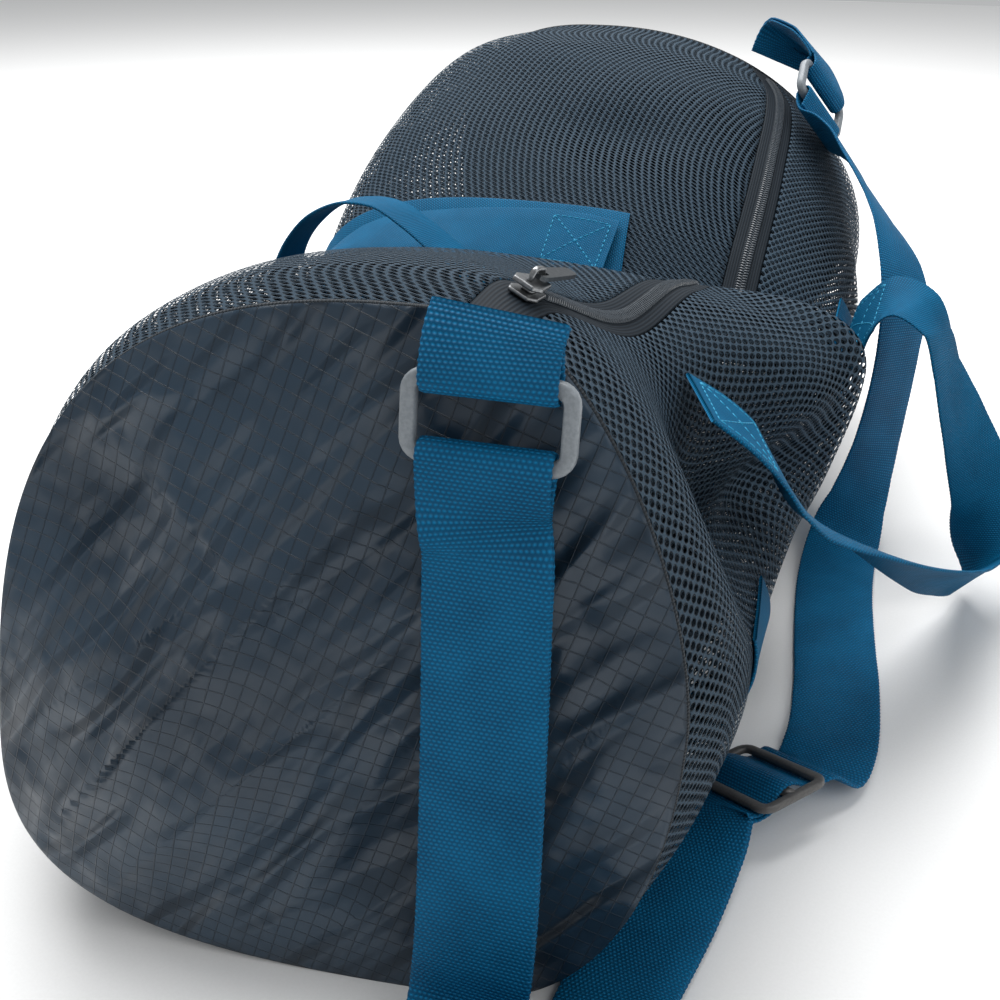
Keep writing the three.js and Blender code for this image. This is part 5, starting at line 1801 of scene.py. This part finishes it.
@dataclass
class Webbing:
    """The ring tabs, the shoulder strap, the sewn legs and the carry handles."""

    surface: BagSurface
    shop: FinishShop
    band: Band = field(default_factory=Band)
    layer_step: float = (WEB_WALL + LAYER_GAP) / 2
    wrap_radius: float = RING_BAR / 2 + BAR_GAP + WEB_WALL / 2
    strap_step: float = STRAP_STEP
    handle_step: float = HANDLE_STEP
    lead_share: float = 0.3
    wrap_steps: int = 6
    leg_points: int = 160
    leg_seat: float = 0.45
    leg_tuck: float = 0.012
    thread: float = 0.32
    stitch: float = 3.2
    box_share: float = 0.78
    box_inset: float = 4.0
    box_run: float = 30.0

    def build(self) -> None:
        """Build every band."""
        self.tab("tab_near", "near_tab", NEAR_TAB_ROWS, NEAR_RING, -1)
        self.tab("tab_far", "far_tab", FAR_TAB_ROWS, FAR_RING, 1)
        self.lay("strap_shoulder", "shoulder_strap", *self.shoulder_path(), Finish.WEB_COARSE)
        for side, table in (("left", LEFT_HANDLE_ROWS), ("right", RIGHT_HANDLE_ROWS)):
            self.lay(f"handle_band_{side}", f"handle_{side}", *self.handle_path(table),
                     Finish.WEB_FINE)
        for side, table in (("left", LEFT_HANDLE_ROWS), ("right", RIGHT_HANDLE_ROWS)):
            self.stitches(f"stitches_{side}", table)
        for node, at, low, high in LEGS:
            self.leg(f"{node}_band", node, at, low, high)

    def lay(self, name: str, node: str, points: np.ndarray, across: np.ndarray,
            finish: Finish) -> None:
        """Build one band of a weave along a path with its width directions."""
        grid, faces, uv = self.band.surface(points, across)
        Piece(name, nodes=(node,), slot="webbing").build(grid, faces, uv, self.shop.made[finish])

    def tab(self, name: str, node: str, table: np.ndarray, ring: RingFrame, side: float) -> None:
        """A hairpin of webbing from the rim round a ring's bar and back.

        Args:
            name: Name of the piece.
            node: CAD node that it replaces.
            table: Rows of the tab's path.
            ring: The ring that it holds.
            side: Side of the path that the first layer lies on.
        """
        places, across = rows_of(table)
        lead = ring.bar(-1) - ring.down * WEB_WIDTH * self.lead_share
        places = np.concatenate([places, [lead, ring.bar(-1)]])
        across = np.concatenate([across, [ring.long, ring.long]])
        band, wide = self.wrapped(places, across, side)
        self.lay(name, node, band, wide, Finish.WEB_COARSE)

    def wrapped(self, points: np.ndarray, across: np.ndarray, side: float
                ) -> tuple[np.ndarray, np.ndarray]:
        """Two layers along a path, joined round the bar of a ring at its end."""
        return loop_round(points, across, side, self.layer_step, self.wrap_radius, self.wrap_steps)

    def handle_path(self, table: np.ndarray) -> tuple[np.ndarray, np.ndarray]:
        """The samples of a carry handle's free band."""
        places, across = rows_of(table)
        return smooth_curve(places, across, self.handle_step)

    def shoulder_path(self) -> tuple[np.ndarray, np.ndarray]:
        """The shoulder strap's samples, from its end at the slide to the far ring.

        Returns:
            Points and width directions: the free end under the slide, the doubled
            run to the near ring and back, the weave through the slide, and the
            single run to the far ring with its loop.
        """
        slide = SlideFrame()
        bar, pitch, layer = SLIDE_BAR, slide.pitch, self.layer_step
        rise = SLIDE_WALL / 2 + LAYER_GAP + WEB_WALL / 2
        under = rise + 2 * layer
        slot_end, slot_start = pitch - bar * 0.6, bar * 0.6
        places, across = rows_of(DOUBLED_ROWS)
        entry = slide.spot(-pitch - bar * 2, -rise - layer)
        doubled, wide = smooth_curve(np.concatenate([[entry], places]),
                                     np.concatenate([[slide.long], across]), self.strap_step)
        near_bar = NEAR_RING.bar(1)
        near_lead = near_bar + NEAR_RING.down * WEB_WIDTH * 0.4
        loop, loop_wide = self.wrapped(
            np.concatenate([doubled, [near_lead, near_bar]]),
            np.concatenate([wide, [-NEAR_RING.long, -NEAR_RING.long]]), -1)
        places, across = rows_of(SINGLE_ROWS)
        far_bar = FAR_RING.bar(1)
        far_lead = far_bar + FAR_RING.down * WEB_WIDTH * self.lead_share
        single, single_wide = smooth_curve(
            np.concatenate([[slide.spot(pitch + bar * 2, -rise)], places, [far_lead]]),
            np.concatenate([[slide.long], across, [FAR_RING.long]]), self.strap_step)
        far, far_wide = self.wrapped(
            np.stack([single[-2], far_lead, far_bar]),
            np.stack([single_wide[-2], FAR_RING.long, FAR_RING.long]), 1)
        before = [slide.spot(slot_start * 2, -rise), slide.spot(-slot_start, -rise - layer * 0.2),
                  slide.spot(-slot_end, -under), slide.spot(-pitch - bar * 0.6, -under)]
        weave = [slide.spot(-pitch - bar * 0.6, -rise), slide.spot(-slot_end, -rise),
                 slide.spot(-slot_start, rise), slide.spot(slot_start, rise),
                 slide.spot(slot_end, -rise), slide.spot(pitch + bar * 0.6, -rise)]
        points = np.concatenate([before, loop, weave, single[:-2], far[:-1]])
        wide = np.concatenate([[slide.long] * len(before), loop_wide, [slide.long] * len(weave),
                               single_wide[:-2], far_wide[:-1]])
        return points, wide

    def stitches(self, name: str, table: np.ndarray) -> None:
        """Boxed crosses of thread at both ends of a handle, on both of its faces.

        Each dash is a bar of four sides from one needle hole to the next, whose
        places are the path's at that length plus u times the half width across.

        Args:
            name: Name of the piece.
            table: Rows of the handle's path.
        """
        place, wide = smooth_curve(*self.handle_path(table), 1.0)
        face = unit(np.cross(path_direction(place), wide))
        box, low, high = self.box_share, self.box_inset, self.box_inset + self.box_run
        corners = np.array([[-box, low], [box, low], [box, high], [-box, high]])
        half = WEB_WIDTH / 2
        spots = []
        for a, b in ((0, 1), (1, 2), (2, 3), (3, 0), (0, 2), (1, 3)):
            run = (corners[b] - corners[a]) * np.array([half, 1.0])
            count = max(2, round(np.hypot(*run) / self.stitch))
            share = (np.arange(count)[:, None] + np.array([0.15, 0.85])[None, :]) / count
            spots.append(corners[a] + (corners[b] - corners[a]) * share[..., None])
        spots = np.concatenate(spots)
        samples = np.arange(len(place))
        ends = []
        for start in (0.0, 1.0):
            along = np.abs(start * (len(place) - 1) - spots[..., 1])
            base, side, out = (read_along(along, samples, values) for values in (place, wide, face))
            across = side * spots[..., :1] * half
            for sign in (-1.0, 1.0):
                sewn = base + across + out * sign * WEB_WALL / 2
                ends.append(np.stack([sewn, out * sign], axis=2))
        ends = np.concatenate(ends)
        points, out = ends[:, :, 0], ends[:, :, 1]
        across = np.cross(unit(points[:, 1] - points[:, 0])[:, None], out)
        thick = self.thread
        ring = np.stack([across * thick, out * thick * 0.9, -across * thick, -out * thick], axis=2)
        grid = points[:, :, None] + ring
        block = np.concatenate([grid_faces(2, 4, closed=True), [[3, 2, 1, 0], [4, 5, 6, 7]]])
        faces = np.arange(len(grid))[:, None, None] * 8 + block[None]
        Piece(name, slot="webbing").build(grid.reshape(-1, 3), faces.reshape(-1, 4),
                                          np.zeros((grid.size // 3, 2)),
                                          self.shop.made[Finish.THREAD])

    def leg(self, name: str, node: str, at: float, low: float, high: float) -> None:
        """A sewn band on the body: the band's flat section laid on the surface.

        Args:
            name: Name of the piece.
            node: CAD node that it replaces.
            at: Station of its middle.
            low: Turn of one end.
            high: Turn of the other end.
        """
        u, height = self.band.section()
        stations = at + u * WEB_WIDTH / 2 / self.surface.length
        top = high + math.copysign(self.leg_tuck, low - high)
        turn = np.repeat(np.linspace(low, top, self.leg_points)[None, :], len(u), axis=0)
        out = self.surface.outward(self.surface.body, stations, turn)
        rise = self.leg_seat + WEB_WALL / 2 + height
        grid = (self.surface.body(stations, turn) + out * rise[:, None, None]).transpose(1, 0, 2)
        faces = band_faces(self.leg_points, len(u))
        if high > low:
            faces = faces[:, ::-1]
        Piece(name, nodes=(node,), slot="webbing").build(
            grid.reshape(-1, 3), faces, band_uv(u, running_length(grid[:, 0])),
            self.shop.made[Finish.WEB_FINE])


@dataclass
class Studio:
    """Pale floor, soft light and the camera of the photograph."""

    shop: FinishShop
    floor_size: float = 6.0
    camera_place: tuple[float, float, float] = (0.12146, -0.47976, 0.328)
    camera_turn: tuple[float, float, float] = (60.0, 0.0, 20.0)
    lens: float = 39.6

    def build(self) -> None:
        """Build the floor, the lights and the camera."""
        mesh = bpy.data.meshes.new("floor")
        half = self.floor_size / 2
        corners = [(-half, -half, 0), (half, -half, 0), (half, half, 0), (-half, half, 0)]
        mesh.from_pydata(corners, [], [(0, 1, 2, 3)])
        mesh.materials.append(self.shop.made[Finish.FLOOR])
        floor = bpy.data.objects.new("floor", mesh)
        bpy.context.scene.collection.objects.link(floor)
        for name, place, size, power in LAMPS:
            light = bpy.data.lights.new(name, "AREA")
            light.energy = power
            light.size = size
            lamp = bpy.data.objects.new(name, light)
            lamp.location = place
            lamp.rotation_euler = look_at(place, LAMP_TARGET)
            bpy.context.scene.collection.objects.link(lamp)
        world = bpy.data.worlds.new("studio")
        world.use_nodes = True
        background = world.node_tree.nodes["Background"]
        background.inputs["Color"].default_value = (*WORLD_COLOUR, 1.0)
        background.inputs["Strength"].default_value = WORLD_STRENGTH
        bpy.context.scene.world = world
        lens = bpy.data.cameras.new("camera")
        lens.lens = self.lens
        lens.sensor_width = 36.0
        lens.clip_start = 0.01
        camera = bpy.data.objects.new("camera", lens)
        camera.location = self.camera_place
        camera.rotation_euler = [math.radians(angle) for angle in self.camera_turn]
        bpy.context.scene.collection.objects.link(camera)
        bpy.context.scene.camera = camera
        bpy.context.scene.view_settings.view_transform = "Standard"


def look_at(place: tuple[float, float, float], target: tuple[float, float, float]
            ) -> tuple[float, float, float]:
    """Euler angles that turn a lamp's -z to a target.

    Args:
        place: The lamp's place.
        target: What it points at.

    Returns:
        Angles in radians.
    """
    run = np.array(target) - np.array(place)
    flat = math.hypot(run[0], run[1])
    return (math.atan2(flat, -run[2]), 0.0, math.atan2(run[0], -run[1]) + math.pi)


def main() -> None:
    """Build the bag in order."""
    logging.basicConfig(level=logging.INFO, format="%(message)s")
    shop = FinishShop()
    surface = BagSurface()
    for part in (BodyCloth(surface, shop), ZipLine(surface, shop), Hardware(shop),
                 Webbing(surface, shop), Studio(shop)):
        part.build()
        LOG.info("built %s", type(part).__name__)
    bpy.context.view_layer.update()


if __name__ == "__main__":
    main()
